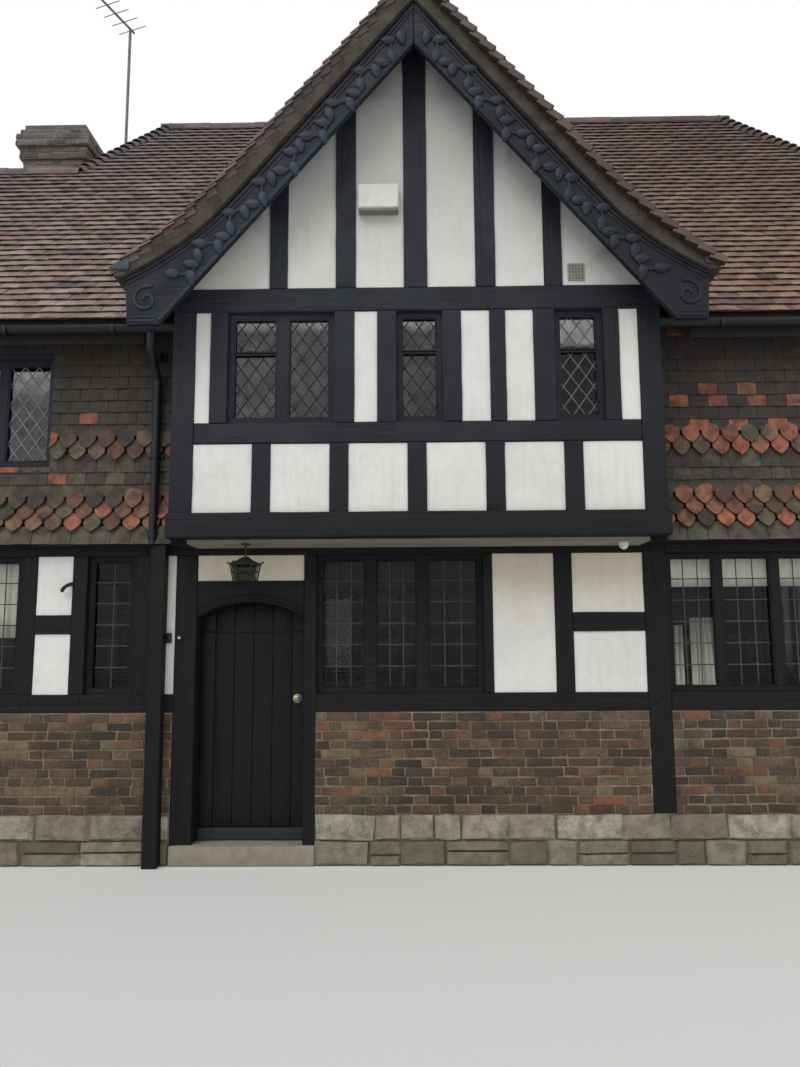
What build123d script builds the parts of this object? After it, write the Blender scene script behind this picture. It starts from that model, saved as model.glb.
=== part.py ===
from build123d import *
import math
import os

# A half timbered house: a long range with a lower wing on its left and a gabled, jettied bay in front.
# Millimetres. X runs along the front from left to right, Y from front to rear and Z up.
# The origin is on the ground, below the main ridge and on the centre line of the bay.

# Plan of the range and the wing
MAIN_LEFT = -3680
MAIN_RIGHT = 4440
MAIN_DEPTH = 5740
WING_LEFT = -6050
WING_DEPTH = 3822
FRONT = -MAIN_DEPTH / 2
REAR = MAIN_DEPTH / 2
WING_REAR = FRONT + WING_DEPTH

# Thicknesses of the walls
GROUND_WALL = 225
UPPER_WALL = 200
BAY_WALL = 160
PANEL_SETBACK = 14
TILE_SKIN = 30

# Levels of the ground storey
FLOOR_LEVEL = 150
PLINTH_TOP = 380
DADO_TOP = 1155
SILL_TOP = 1297
RAIL_BOTTOM = 1777
RAIL_TOP = 1924
HEAD_BOTTOM = 2400
HEAD_TOP = 2480
FIRST_FLOOR_THICKNESS = 180
FIRST_FLOOR = HEAD_TOP + FIRST_FLOOR_THICKNESS
TILE_SKIN_BOTTOM = HEAD_TOP + 20

# What the front of the ground storey holds on each side of the door's frame, outwards, and how wide it is
CORNER_POST = GROUND_WALL
STUD = 120
PANEL_PITCH = 680
LEFT_OF_DOOR = (
    ("tall panel", 120),
    ("stud", 210),
    ("window", 390),
    ("stud", STUD),
    ("split panel", 290),
    ("stud", STUD),
    ("window", 1340),
    ("stud", STUD),
    ("split panel", 530),
    ("stud", STUD),
)
RIGHT_OF_DOOR = (
    ("window", 1330),
    ("stud", 75),
    ("tall panel", 495),
    ("stud", 140),
    ("split panel", 570),
    ("post", 180),
    ("window", 1780),
    ("stud", STUD),
)

# Windows
LIGHT_MULLION = 65
HEAVY_MULLION = 90
WINDOW_FRAME = 40
WINDOW_DEPTH = 70
WINDOW_SETBACK = 45
GLASS = 6

# The front door, its frame and its hardware
DOOR_FRAME_LEFT = -1940
DOOR_FRAME_RIGHT = -810
HINGE_POST = 170
LATCH_POST = 100
DOORWAY_LEFT = DOOR_FRAME_LEFT + HINGE_POST
DOORWAY_RIGHT = DOOR_FRAME_RIGHT - LATCH_POST
DOOR_FRAME_DEPTH = 175
DOOR_SPRING = 1900
DOOR_ARCH_RISE = 120
DOOR_HEAD_TOP = 2190
DOOR_GAP = 5
LEAF_THICKNESS = 45
LEAF_LAP = 40
LEAF_FOOT_GAP = 8
HINGE_OFFSET = 15
HINGE_PIN = 8
HINGE_EYE = 14
HINGE_RUNNING_GAP = 0.3
HINGE_HEIGHT = 60
LOW_HINGE = 450
HIGH_HINGE = 1750
STRAP_LENGTH = 420
STRAP_THICKNESS = 6
KNOB_INSET = 70
KNOB_LEVEL = 1250
KNOB_RADIUS = 28
KNOB_NECK = 12
KNOB_REACH = 55
WEATHER_BAR_HEIGHT = 90
WEATHER_BAR_DEPTH = 25
WEATHER_BAR_GAP = 10
STEP_NOSE = 30

# The jettied bay
BAY_HALF = 1905
BAY_PROJECTION = 400
BAY_POST = 173
BAY_STUD = 142
BAY_LOWER_PANELS = 6
JETTY_BOTTOM = 2455
BRESSUMMER_BOTTOM = 2485
BRESSUMMER_TOP = 2680
BRESSUMMER_NOSE = 40
BRESSUMMER_RETURN = 15
SOFFIT_DEPTH = 320
MIDDLE_RAIL_BOTTOM = 3221
MIDDLE_RAIL_TOP = 3387
TIE_BOTTOM = 4281
TIE_TOP = 4475
BAY_FRONT = FRONT - BAY_PROJECTION
BAY_BACK = BAY_FRONT + BAY_WALL
BAY_INNER = BAY_HALF - BAY_POST

# What the bay's upper row holds between its posts, from left to right
BAY_ROW = (
    ("strip", 120),
    ("stud", 135),
    ("window", 837),
    ("stud", 154),
    ("strip", 183),
    ("stud", 148),
    ("window", 360),
    ("stud", 146),
    ("strip", 225),
    ("stud", 121),
    ("strip", 221),
    ("stud", 162),
    ("window", 380),
    ("stud", 120),
    ("strip", 152),
)
KING_POST_HALF = 90
GABLE_STUDS = ((475, 630), (1015, 1155))

# Roofs
ROOF_PITCH = 50
HIP_PITCH = 58
ROOF_OVER_WALL = 4597
ROOF_DROP = 200
EAVES = 260
BAY_ROOF_RISE = 1.17
BAY_ROOF_FRONT = 345
BAY_EAVES = 365
FLARE_START = 555
BAY_TIP_TOP = 4485
BAY_TIP_BOTTOM = 4430
BARGE_FRONT = 300
BARGE_THICKNESS = 50
BARGE_DROP = 340
BARGE_TOP_GAP = 24
BARGE_TIP = 295
BARGE_TIP_LEVEL = 4440
BARGE_FOOT = 4070
BARGE_FOOT_SPLAY = 25
GABLE_BEAM = 4150
RIDGE_TILE = 110
RIDGE_TILE_SIDE = 60
RIDGE_TILE_CROWN = 30

# Gutters and pipes
GUTTER = 56
GUTTER_WALL = 4
GUTTER_TOP = 4205
PIPE_RADIUS = 33
PIPE_STANDOFF = 100
PIPE_DROP = 100
PIPE_BEND = 60
PIPE_GAP = 207
BOXING_GAP = 65
BOXING_WIDTH = 115
BOXING_DEPTH = 100
BOXING_RIGHT = DOOR_FRAME_LEFT - BOXING_GAP
BOXING_LEFT = BOXING_RIGHT - BOXING_WIDTH
PIPE_X = -BAY_HALF - PIPE_GAP

# The chimney and the aerial
CHIMNEY_GAP = 250
CHIMNEY_WIDTH = 730
CHIMNEY_CLEAR = 197
CHIMNEY_DEPTH = 800
CHIMNEY_RIGHT = MAIN_LEFT - CHIMNEY_GAP
CHIMNEY_LEFT = CHIMNEY_RIGHT - CHIMNEY_WIDTH
CHIMNEY_REAR = WING_REAR - GROUND_WALL - CHIMNEY_CLEAR
CHIMNEY_FRONT = CHIMNEY_REAR - CHIMNEY_DEPTH
CHIMNEY_OVER_RIDGE = 1025
CORBEL_STEP = 35
CORBEL_COURSE = 75
FLUE = 230
MAST_INSET = 40
MAST_BACK = 550
MAST_OVER_RIDGE = 165
MAST_LENGTH = 2540
MAST_RADIUS = 18
MAST_X = MAIN_LEFT + MAST_INSET
MAST_Y = CHIMNEY_FRONT + MAST_BACK
BRACKET_RISE = 60
BRACKET_SPACING = 270
BOOM_LENGTH = 1100
BOOM_SIZE = 20
BOOM_TAIL = 80
BOOM_ANGLE = -110
ELEMENTS = 7
ELEMENT_LENGTH = 420
ELEMENT_RADIUS = 5
ELEMENT_INSET = 40
AERIAL_GAP = 0.3

# Corbels of the chimney from the top down: how many steps out, and how many courses high
CORBELS = ((1, 1), (2, 2), (1, 2))

# Small fittings
LANTERN_SIDE = 15
LANTERN_X = (DOORWAY_LEFT + DOORWAY_RIGHT) / 2 + LANTERN_SIDE
LANTERN_OUT = 300
LANTERN_FOOT = 96
LANTERN_SHOULDER = 120
LANTERN_EAVES = 134
LANTERN_CROWN = 48
LANTERN_BOTTOM = 2150
LANTERN_TOP = 2340
LANTERN_ROOF = 40
LANTERN_HOOK = 14
ALARM_LEFT = -450
ALARM_WIDTH = 320
ALARM_BOTTOM = 5100
ALARM_HEIGHT = 250
ALARM_DEPTH = 80
VENT_LEFT = 1200
VENT_WIDTH = 130
VENT_BOTTOM = 4512
VENT_HEIGHT = 140
VENT_DEPTH = 12
CAMERA_X = 1590
CAMERA_OUT = 250
CAMERA_RADIUS = 40

TAN_ROOF = math.tan(math.radians(ROOF_PITCH))
TAN_HIP = math.tan(math.radians(HIP_PITCH))
MAIN_RIDGE = ROOF_OVER_WALL + TAN_ROOF * MAIN_DEPTH / 2
WING_RIDGE = ROOF_OVER_WALL + TAN_ROOF * WING_DEPTH / 2
HIP_RUN = (MAIN_RIDGE - WING_RIDGE) / TAN_HIP
HIP_HALF = (MAIN_RIDGE - WING_RIDGE) / TAN_ROOF
BAY_APEX_UNDER = TIE_TOP + BAY_ROOF_RISE * BAY_HALF
CHIMNEY_TOP = WING_RIDGE + CHIMNEY_OVER_RIDGE
MAST_BOTTOM = WING_RIDGE + MAST_OVER_RIDGE


class Wall:
    """A straight wall: where its outer face stands, and how far it runs along that face."""

    def __init__(self, place, start, end):
        self.place = place
        self.start = start
        self.end = end

    def box(self, along, depth, height, mode=Mode.ADD):
        """Adds a box to the open part, or cuts it: along the wall, inwards from its face, and up."""
        middle = [(low + high) / 2 for low, high in (along, depth, height)]
        size = [high - low for low, high in (along, depth, height)]
        with Locations(self.place * Location(middle)):
            Box(*size, mode=mode)

    def boxes(self, spans, depth, height, mode=Mode.ADD):
        """Adds boxes of one depth and height to the open part, or cuts them: one for each span."""
        upright = Plane(self.place * Location((0, depth[0], 0), (90, 0, 0)))
        with BuildSketch(upright) as outlines:
            for low, high in spans:
                with Locations(((low + high) / 2, (height[0] + height[1]) / 2)):
                    Rectangle(high - low, height[1] - height[0])
        extrude(outlines.sketch, amount=depth[0] - depth[1], mode=mode)


FRONT_WALL = Wall(Location((0, FRONT, 0)), WING_LEFT, MAIN_RIGHT)
REAR_WALL = Wall(Location((0, REAR, 0), (0, 0, 180)), -MAIN_RIGHT, -MAIN_LEFT)
WING_REAR_WALL = Wall(Location((0, WING_REAR, 0), (0, 0, 180)), -MAIN_LEFT, -WING_LEFT)
LEFT_WALL = Wall(Location((WING_LEFT, 0, 0), (0, 0, -90)), -WING_REAR, -FRONT)
RETURN_WALL = Wall(Location((MAIN_LEFT, 0, 0), (0, 0, -90)), -REAR, -WING_REAR)
RIGHT_WALL = Wall(Location((MAIN_RIGHT, 0, 0), (0, 0, 90)), FRONT, REAR)
BAY_FACE = Wall(Location((0, BAY_FRONT, 0)), -BAY_HALF, BAY_HALF)

PLAIN_WALLS = (REAR_WALL, WING_REAR_WALL, LEFT_WALL, RETURN_WALL, RIGHT_WALL)


def row(start, outwards, items):
    """The spans of each kind of piece in a row that begins at a start, and where the row ends."""
    spans = {kind: [] for kind, _ in items}
    edge = start
    for kind, width in items:
        far = edge + outwards * width
        spans[kind].append((min(edge, far), max(edge, far)))
        edge = far
    return spans, edge


def fitted(items, length, elastic):
    """A row whose pieces of one kind share evenly what the others leave of a length."""
    count = sum(1 for kind, _ in items if kind == elastic)
    spare = (length - sum(width for _, width in items)) / count
    return [(kind, width + spare if kind == elastic else width) for kind, width in items]


front_left, front_left_end = row(DOOR_FRAME_LEFT, -1, LEFT_OF_DOOR)
front_right, front_right_end = row(DOOR_FRAME_RIGHT, 1, RIGHT_OF_DOOR)
bay_row, _ = row(-BAY_INNER, 1, fitted(BAY_ROW, 2 * BAY_INNER, "strip"))
middle_post = front_right["post"][0]
front_split_panels = front_left["split panel"] + front_right["split panel"]
front_split_panels += [
    (WING_LEFT + CORNER_POST, front_left_end),
    (front_right_end, MAIN_RIGHT - CORNER_POST),
]

# Windows: the wall, the two sides, the middles of the mullions from its left side and their width
GROUND_WINDOWS = (
    (FRONT_WALL, *front_left["window"][1], (445, 895), LIGHT_MULLION),
    (FRONT_WALL, *front_left["window"][0], (), LIGHT_MULLION),
    (FRONT_WALL, *front_right["window"][0], (430, 845), HEAVY_MULLION),
    (FRONT_WALL, *front_right["window"][1], (420, 875, 1330), LIGHT_MULLION),
    (REAR_WALL, -3100, -1760, (445, 895), LIGHT_MULLION),
    (REAR_WALL, 900, 2240, (445, 895), LIGHT_MULLION),
    (WING_REAR_WALL, 4420, 5310, (445,), LIGHT_MULLION),
    (LEFT_WALL, 500, 1390, (445,), LIGHT_MULLION),
    (RIGHT_WALL, -670, 670, (445, 895), LIGHT_MULLION),
)
UPPER_WINDOW_BOTTOM = 3150
UPPER_WINDOW_TOP = 4060
UPPER_WINDOWS = (
    (FRONT_WALL, -3880, -3010, (435,), LIGHT_MULLION),
    (FRONT_WALL, 3290, 4160, (435,), LIGHT_MULLION),
    (REAR_WALL, -2865, -1995, (435,), LIGHT_MULLION),
    (REAR_WALL, 1135, 2005, (435,), LIGHT_MULLION),
    (WING_REAR_WALL, 4430, 5300, (435,), LIGHT_MULLION),
    (LEFT_WALL, 510, 1380, (435,), LIGHT_MULLION),
    (RIGHT_WALL, -435, 435, (435,), LIGHT_MULLION),
)
BAY_WINDOWS = (
    (BAY_FACE, *bay_row["window"][0], (427,), HEAVY_MULLION),
    (BAY_FACE, *bay_row["window"][1], (), HEAVY_MULLION),
    (BAY_FACE, *bay_row["window"][2], (), HEAVY_MULLION),
)


def roof_top(run):
    """The height of the tiles a given run behind the wall's face, on the slopes of range and wing."""
    return ROOF_OVER_WALL + TAN_ROOF * run


def roof_under(run):
    """The height of the underside of those slopes."""
    return roof_top(run) - ROOF_DROP


def bay_under(x):
    """The height of the underside of the bay's roof."""
    return BAY_APEX_UNDER - BAY_ROOF_RISE * abs(x)


def facing(y):
    """The upright plane at a given Y, drawn on with X to the right and Z up."""
    return Plane(origin=(0, y, 0), x_dir=(1, 0, 0), z_dir=(0, -1, 0))


def side(x):
    """The upright plane at a given X, drawn on with Y to the right and Z up."""
    return Plane(origin=(x, 0, 0), x_dir=(0, 1, 0), z_dir=(1, 0, 0))


def prism(plane, points, length, mode=Mode.ADD):
    """Adds to the open part an outline drawn on a plane and carried a length along its normal."""
    with BuildSketch(plane) as outline:
        with BuildLine():
            Polyline(*points, close=True)
        make_face()
    extrude(outline.sketch, amount=length, mode=mode)


def save(piece, name):
    """Labels a finished piece and writes it."""
    piece.part.label = name
    export_step(piece.part, f"parts/{name}.step")


def corner_insets(wall):
    """The start and end of a plain wall's frame, between the posts at its corners."""
    start = 0 if wall is WING_REAR_WALL else CORNER_POST
    end = 0 if wall is RETURN_WALL else CORNER_POST
    return wall.start + start, wall.end - end


def plain_spans(wall):
    """The stretches of a plain wall's frame between its corner posts and its windows."""
    start, end = corner_insets(wall)
    spans = []
    for host, left, right, _, _ in GROUND_WINDOWS:
        if host is wall:
            spans.append((start, left))
            start = right
    spans.append((start, end))
    return spans


def plain_studs(wall):
    """The studs of a plain wall: one beside each window and more at an even pitch between."""
    start, end = corner_insets(wall)
    studs = []
    for low, high in plain_spans(wall):
        if low > start:
            studs.append((low, low + STUD))
        inner_low = low + STUD if low > start else low
        inner_high = high - STUD if high < end else high
        count = max(1, round((inner_high - inner_low) / PANEL_PITCH))
        panel = (inner_high - inner_low - (count - 1) * STUD) / count
        for number in range(1, count):
            left = inner_low + number * panel + (number - 1) * STUD
            studs.append((left, left + STUD))
        if high < end:
            studs.append((high - STUD, high))
    return studs


def plain_panels(wall):
    """The panels between the studs, posts and windows of a plain wall."""
    start, end = corner_insets(wall)
    solid = plain_studs(wall) + [(left, right) for host, left, right, _, _ in GROUND_WINDOWS if host is wall]
    panels = []
    for low, high in sorted(solid):
        if low > start:
            panels.append((start, low))
        start = max(start, high)
    if end > start:
        panels.append((start, end))
    return panels


def lights(window):
    """The clear widths of a window's lights, between its frame and its mullions."""
    _, left, right, mullions, mullion = window
    edges = [left + WINDOW_FRAME]
    for middle in mullions:
        edges += [left + middle - mullion / 2, left + middle + mullion / 2]
    edges.append(right - WINDOW_FRAME)
    return list(zip(edges[::2], edges[1::2]))


def add_window_frame(window, bottom, top):
    """Adds one window's frame to the open part, with each light cut through."""
    wall, left, right, _, _ = window
    depth = (WINDOW_SETBACK, WINDOW_SETBACK + WINDOW_DEPTH)
    wall.box((left, right), depth, (bottom, top))
    wall.boxes(lights(window), depth, (bottom + WINDOW_FRAME, top - WINDOW_FRAME), Mode.SUBTRACT)


def add_glass(window, bottom, top):
    """Adds a sheet of glass to each light of a window."""
    middle = WINDOW_SETBACK + WINDOW_DEPTH / 2
    depth = (middle - GLASS / 2, middle + GLASS / 2)
    window[0].boxes(lights(window), depth, (bottom + WINDOW_FRAME, top - WINDOW_FRAME))


os.makedirs("parts", exist_ok=True)

# The ground floors of the range and the wing, between the walls
with BuildPart() as ground_floor_main:
    FRONT_WALL.box(
        (MAIN_LEFT + GROUND_WALL, MAIN_RIGHT - GROUND_WALL),
        (GROUND_WALL, MAIN_DEPTH - GROUND_WALL),
        (0, FLOOR_LEVEL),
    )
save(ground_floor_main, "ground_floor_main")

with BuildPart() as ground_floor_wing:
    FRONT_WALL.box(
        (WING_LEFT + GROUND_WALL, MAIN_LEFT + GROUND_WALL),
        (GROUND_WALL, WING_DEPTH - GROUND_WALL),
        (0, FLOOR_LEVEL),
    )
save(ground_floor_wing, "ground_floor_wing")

# The stone step under the front door
with BuildPart() as door_step:
    FRONT_WALL.box((DOOR_FRAME_LEFT, DOOR_FRAME_RIGHT), (-STEP_NOSE, GROUND_WALL), (0, FLOOR_LEVEL))
save(door_step, "door_step")

# The stone plinth: long walls first, then the end walls between them
wall_depth = (0, GROUND_WALL)
with BuildPart() as plinth_long_walls:
    FRONT_WALL.box((WING_LEFT, DOOR_FRAME_LEFT), wall_depth, (0, PLINTH_TOP))
    FRONT_WALL.box((DOOR_FRAME_RIGHT, MAIN_RIGHT), wall_depth, (0, PLINTH_TOP))
    REAR_WALL.box((REAR_WALL.start, REAR_WALL.end), wall_depth, (0, PLINTH_TOP))
    WING_REAR_WALL.box((WING_REAR_WALL.start, WING_REAR_WALL.end), wall_depth, (0, PLINTH_TOP))
save(plinth_long_walls, "plinth_long_walls")

with BuildPart() as plinth_end_walls:
    LEFT_WALL.box((-WING_REAR + GROUND_WALL, -FRONT - GROUND_WALL), wall_depth, (0, PLINTH_TOP))
    RETURN_WALL.box((-REAR + GROUND_WALL, -WING_REAR + GROUND_WALL), wall_depth, (0, PLINTH_TOP))
    RIGHT_WALL.box((FRONT + GROUND_WALL, REAR - GROUND_WALL), wall_depth, (0, PLINTH_TOP))
save(plinth_end_walls, "plinth_end_walls")

# The stretches of the frame between its posts, which brick, sill beam and head beam all fill
frame_runs = [
    (FRONT_WALL, WING_LEFT + CORNER_POST, DOOR_FRAME_LEFT),
    (FRONT_WALL, DOOR_FRAME_RIGHT, middle_post[0]),
    (FRONT_WALL, middle_post[1], MAIN_RIGHT - CORNER_POST),
]
frame_runs += [(wall, *corner_insets(wall)) for wall in PLAIN_WALLS]

with BuildPart() as brick_dado:
    for wall, start, end in frame_runs:
        wall.box((start, end), wall_depth, (PLINTH_TOP, DADO_TOP))
save(brick_dado, "brick_dado")

# Sill beams, middle rails and head beams
split_panels = [(FRONT_WALL, front_split_panels)]
split_panels += [(wall, plain_panels(wall)) for wall in PLAIN_WALLS]
with BuildPart() as ground_rails:
    for wall, start, end in frame_runs:
        wall.box((start, end), wall_depth, (DADO_TOP, SILL_TOP))
    for wall, spans in split_panels:
        wall.boxes(spans, wall_depth, (RAIL_BOTTOM, RAIL_TOP))
    FRONT_WALL.box((WING_LEFT + CORNER_POST, middle_post[0]), wall_depth, (HEAD_BOTTOM, HEAD_TOP))
    for wall, start, end in frame_runs[2:]:
        wall.box((start, end), wall_depth, (HEAD_BOTTOM, HEAD_TOP))
save(ground_rails, "ground_rails")

# Corner posts, the post right of the bay and all studs
with BuildPart() as ground_posts:
    post_height = (PLINTH_TOP, HEAD_TOP)
    for wall in (FRONT_WALL, REAR_WALL):
        wall.box((wall.start, wall.start + CORNER_POST), wall_depth, post_height)
        wall.box((wall.end - CORNER_POST, wall.end), wall_depth, post_height)
    WING_REAR_WALL.box((-WING_LEFT - CORNER_POST, -WING_LEFT), wall_depth, post_height)
    WING_REAR_WALL.box((-MAIN_LEFT - CORNER_POST, -MAIN_LEFT), wall_depth, post_height)
    FRONT_WALL.box(middle_post, wall_depth, post_height)
    front_studs = front_left["stud"] + front_right["stud"]
    FRONT_WALL.boxes(front_studs, wall_depth, (SILL_TOP, HEAD_BOTTOM))
    for wall in PLAIN_WALLS:
        wall.boxes(plain_studs(wall), wall_depth, (SILL_TOP, HEAD_BOTTOM))
save(ground_posts, "ground_posts")

# White panels between the timbers
with BuildPart() as ground_panels:
    panel_depth = (PANEL_SETBACK, GROUND_WALL - PANEL_SETBACK)
    for wall, spans in split_panels:
        wall.boxes(spans, panel_depth, (SILL_TOP, RAIL_BOTTOM))
        wall.boxes(spans, panel_depth, (RAIL_TOP, HEAD_BOTTOM))
    tall_panels = front_left["tall panel"] + front_right["tall panel"]
    FRONT_WALL.boxes(tall_panels, panel_depth, (SILL_TOP, HEAD_BOTTOM))
    FRONT_WALL.box((DOORWAY_LEFT, DOORWAY_RIGHT), panel_depth, (DOOR_HEAD_TOP, HEAD_BOTTOM))
save(ground_panels, "ground_panels")

# Every window's frame, and a sheet of glass in every light
window_rows = (
    (GROUND_WINDOWS, SILL_TOP, HEAD_BOTTOM),
    (UPPER_WINDOWS, UPPER_WINDOW_BOTTOM, UPPER_WINDOW_TOP),
    (BAY_WINDOWS, MIDDLE_RAIL_TOP, TIE_BOTTOM),
)
with BuildPart() as window_frames:
    for row, bottom, top in window_rows:
        for window in row:
            add_window_frame(window, bottom, top)
save(window_frames, "window_frames")

with BuildPart() as window_glass:
    for row, bottom, top in window_rows:
        for window in row:
            add_glass(window, bottom, top)
save(window_glass, "window_glass")

# The front door's posts and its head, with a shallow arch
with BuildPart() as door_posts:
    frame_depth = (0, DOOR_FRAME_DEPTH)
    FRONT_WALL.box((DOOR_FRAME_LEFT, DOORWAY_LEFT), frame_depth, (FLOOR_LEVEL, HEAD_BOTTOM))
    FRONT_WALL.box((DOORWAY_RIGHT, DOOR_FRAME_RIGHT), frame_depth, (FLOOR_LEVEL, HEAD_BOTTOM))
save(door_posts, "door_posts")

with BuildPart() as door_head:
    with BuildSketch(facing(FRONT)):
        with BuildLine():
            arch = ThreePointArc(
                (DOORWAY_LEFT, DOOR_SPRING),
                ((DOORWAY_LEFT + DOORWAY_RIGHT) / 2, DOOR_SPRING + DOOR_ARCH_RISE),
                (DOORWAY_RIGHT, DOOR_SPRING),
            )
            Polyline(
                arch @ 1,
                (DOORWAY_RIGHT, DOOR_HEAD_TOP),
                (DOORWAY_LEFT, DOOR_HEAD_TOP),
                arch @ 0,
            )
        make_face()
    extrude(amount=-DOOR_FRAME_DEPTH)
save(door_head, "door_head")

# The planked leaf hangs behind the posts and laps them on all sides
LEAF_FACE = DOOR_FRAME_DEPTH + DOOR_GAP
LEAF_BACK = LEAF_FACE + LEAF_THICKNESS
LEAF_LEFT = DOORWAY_LEFT - LEAF_LAP
LEAF_RIGHT = DOORWAY_RIGHT + LEAF_LAP
LEAF_BOTTOM = FLOOR_LEVEL + LEAF_FOOT_GAP
LEAF_TOP = DOOR_SPRING + DOOR_ARCH_RISE + LEAF_LAP
HINGE_X = LEAF_LEFT - HINGE_OFFSET
HINGE_Y = FRONT + LEAF_BACK + STRAP_THICKNESS

with BuildPart() as door_leaf:
    FRONT_WALL.box((LEAF_LEFT, LEAF_RIGHT), (LEAF_FACE, LEAF_BACK), (LEAF_BOTTOM, LEAF_TOP))
save(door_leaf, "door_leaf")

knob_x = DOORWAY_RIGHT - KNOB_INSET
with BuildPart() as door_knob:
    with BuildSketch(Plane(origin=(knob_x, 0, KNOB_LEVEL), x_dir=(1, 0, 0), z_dir=(0, 0, 1))):
        with BuildLine():
            neck = FRONT + LEAF_FACE
            Polyline(
                (0, neck),
                (KNOB_RADIUS, neck),
                (KNOB_RADIUS, neck - KNOB_NECK / 2),
                (KNOB_NECK, neck - KNOB_NECK / 2),
                (KNOB_NECK, neck - KNOB_REACH / 2),
                (KNOB_RADIUS, neck - KNOB_REACH / 2 - KNOB_NECK / 2),
                (KNOB_RADIUS, neck - KNOB_REACH + KNOB_NECK / 2),
                (KNOB_NECK, neck - KNOB_REACH),
                (0, neck - KNOB_REACH),
                close=True,
            )
        make_face()
    revolve(axis=Axis((knob_x, 0, KNOB_LEVEL), (0, 1, 0)))
save(door_knob, "door_knob")

with BuildPart() as door_weather_bar:
    FRONT_WALL.box(
        (DOORWAY_LEFT + WEATHER_BAR_GAP, DOORWAY_RIGHT - WEATHER_BAR_GAP),
        (LEAF_FACE - WEATHER_BAR_DEPTH, LEAF_FACE),
        (LEAF_BOTTOM, LEAF_BOTTOM + WEATHER_BAR_HEIGHT),
    )
save(door_weather_bar, "door_weather_bar")

# Two strap hinges on the leaf turn on pins that stand on brackets behind the left post
with BuildPart() as door_hinge_straps:
    for level in (LOW_HINGE, HIGH_HINGE):
        with Locations((HINGE_X, HINGE_Y, level)):
            Cylinder(HINGE_EYE, HINGE_HEIGHT, align=(Align.CENTER, Align.CENTER, Align.MIN))
        FRONT_WALL.box(
            (HINGE_X, LEAF_LEFT + STRAP_LENGTH),
            (LEAF_BACK, LEAF_BACK + STRAP_THICKNESS),
            (level, level + HINGE_HEIGHT),
        )
        with Locations((HINGE_X, HINGE_Y, level)):
            Cylinder(
                HINGE_PIN + HINGE_RUNNING_GAP,
                HINGE_HEIGHT,
                align=(Align.CENTER, Align.CENTER, Align.MIN),
                mode=Mode.SUBTRACT,
            )
save(door_hinge_straps, "door_hinge_straps")

with BuildPart() as door_hinge_pins:
    for level in (LOW_HINGE, HIGH_HINGE):
        shelf = level - HINGE_RUNNING_GAP
        with Locations((HINGE_X, HINGE_Y, shelf)):
            Cylinder(HINGE_PIN, HINGE_HEIGHT, align=(Align.CENTER, Align.CENTER, Align.MIN))
        FRONT_WALL.box(
            (HINGE_X - HINGE_EYE, HINGE_X + HINGE_PIN),
            (DOOR_FRAME_DEPTH, HINGE_Y - FRONT + HINGE_PIN),
            (shelf - HINGE_EYE, shelf),
        )
save(door_hinge_pins, "door_hinge_pins")

# The first floor, over the walls of the ground storey, with a hole for the chimney
with BuildPart() as first_floor_main:
    FRONT_WALL.box((MAIN_LEFT, MAIN_RIGHT), (0, MAIN_DEPTH), (HEAD_TOP, FIRST_FLOOR))
save(first_floor_main, "first_floor_main")

chimney_span = (CHIMNEY_LEFT, CHIMNEY_RIGHT)
chimney_depth = (CHIMNEY_FRONT - FRONT, CHIMNEY_FRONT - FRONT + CHIMNEY_DEPTH)
with BuildPart() as first_floor_wing:
    FRONT_WALL.box((WING_LEFT, MAIN_LEFT), (0, WING_DEPTH), (HEAD_TOP, FIRST_FLOOR))
    FRONT_WALL.box(chimney_span, chimney_depth, (HEAD_TOP, FIRST_FLOOR), Mode.SUBTRACT)
save(first_floor_wing, "first_floor_wing")

# The floor of the bay carries a thin soffit forward under the bressummer
with BuildPart() as jetty_floor:
    prism(
        side(-BAY_HALF),
        (
            (FRONT, FIRST_FLOOR),
            (BAY_BACK, FIRST_FLOOR),
            (BAY_BACK, BRESSUMMER_BOTTOM),
            (FRONT - SOFFIT_DEPTH, BRESSUMMER_BOTTOM),
            (FRONT - SOFFIT_DEPTH, JETTY_BOTTOM),
            (FRONT, JETTY_BOTTOM),
        ),
        2 * BAY_HALF,
    )
save(jetty_floor, "jetty_floor")

# The bay's front: bressummer, middle rail and tie beam
bay_depth = (0, BAY_WALL)
with BuildPart() as bay_beams:
    BAY_FACE.box(
        (-BAY_HALF - BRESSUMMER_RETURN, BAY_HALF + BRESSUMMER_RETURN),
        (-BRESSUMMER_NOSE, BAY_WALL),
        (BRESSUMMER_BOTTOM, BRESSUMMER_TOP),
    )
    BAY_FACE.box((-BAY_INNER, BAY_INNER), bay_depth, (MIDDLE_RAIL_BOTTOM, MIDDLE_RAIL_TOP))
    BAY_FACE.box((-BAY_HALF, BAY_HALF), bay_depth, (TIE_BOTTOM, TIE_TOP))
save(bay_beams, "bay_beams")

# Posts and studs of the bay and of its gable, whose tops follow the roof
lower_panel = (2 * BAY_INNER - (BAY_LOWER_PANELS - 1) * BAY_STUD) / BAY_LOWER_PANELS
lower_starts = [-BAY_INNER + number * (lower_panel + BAY_STUD) for number in range(BAY_LOWER_PANELS)]


def gable_piece(left, right, inset):
    """Adds to the open part a piece of the gable wall from the tie beam up to the roof."""
    outline = [(left, TIE_TOP), (right, TIE_TOP), (right, bay_under(right)), (left, bay_under(left))]
    if left < 0 < right:
        outline.insert(3, (0, bay_under(0)))
    prism(facing(BAY_FRONT + inset), outline, 2 * inset - BAY_WALL)


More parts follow.
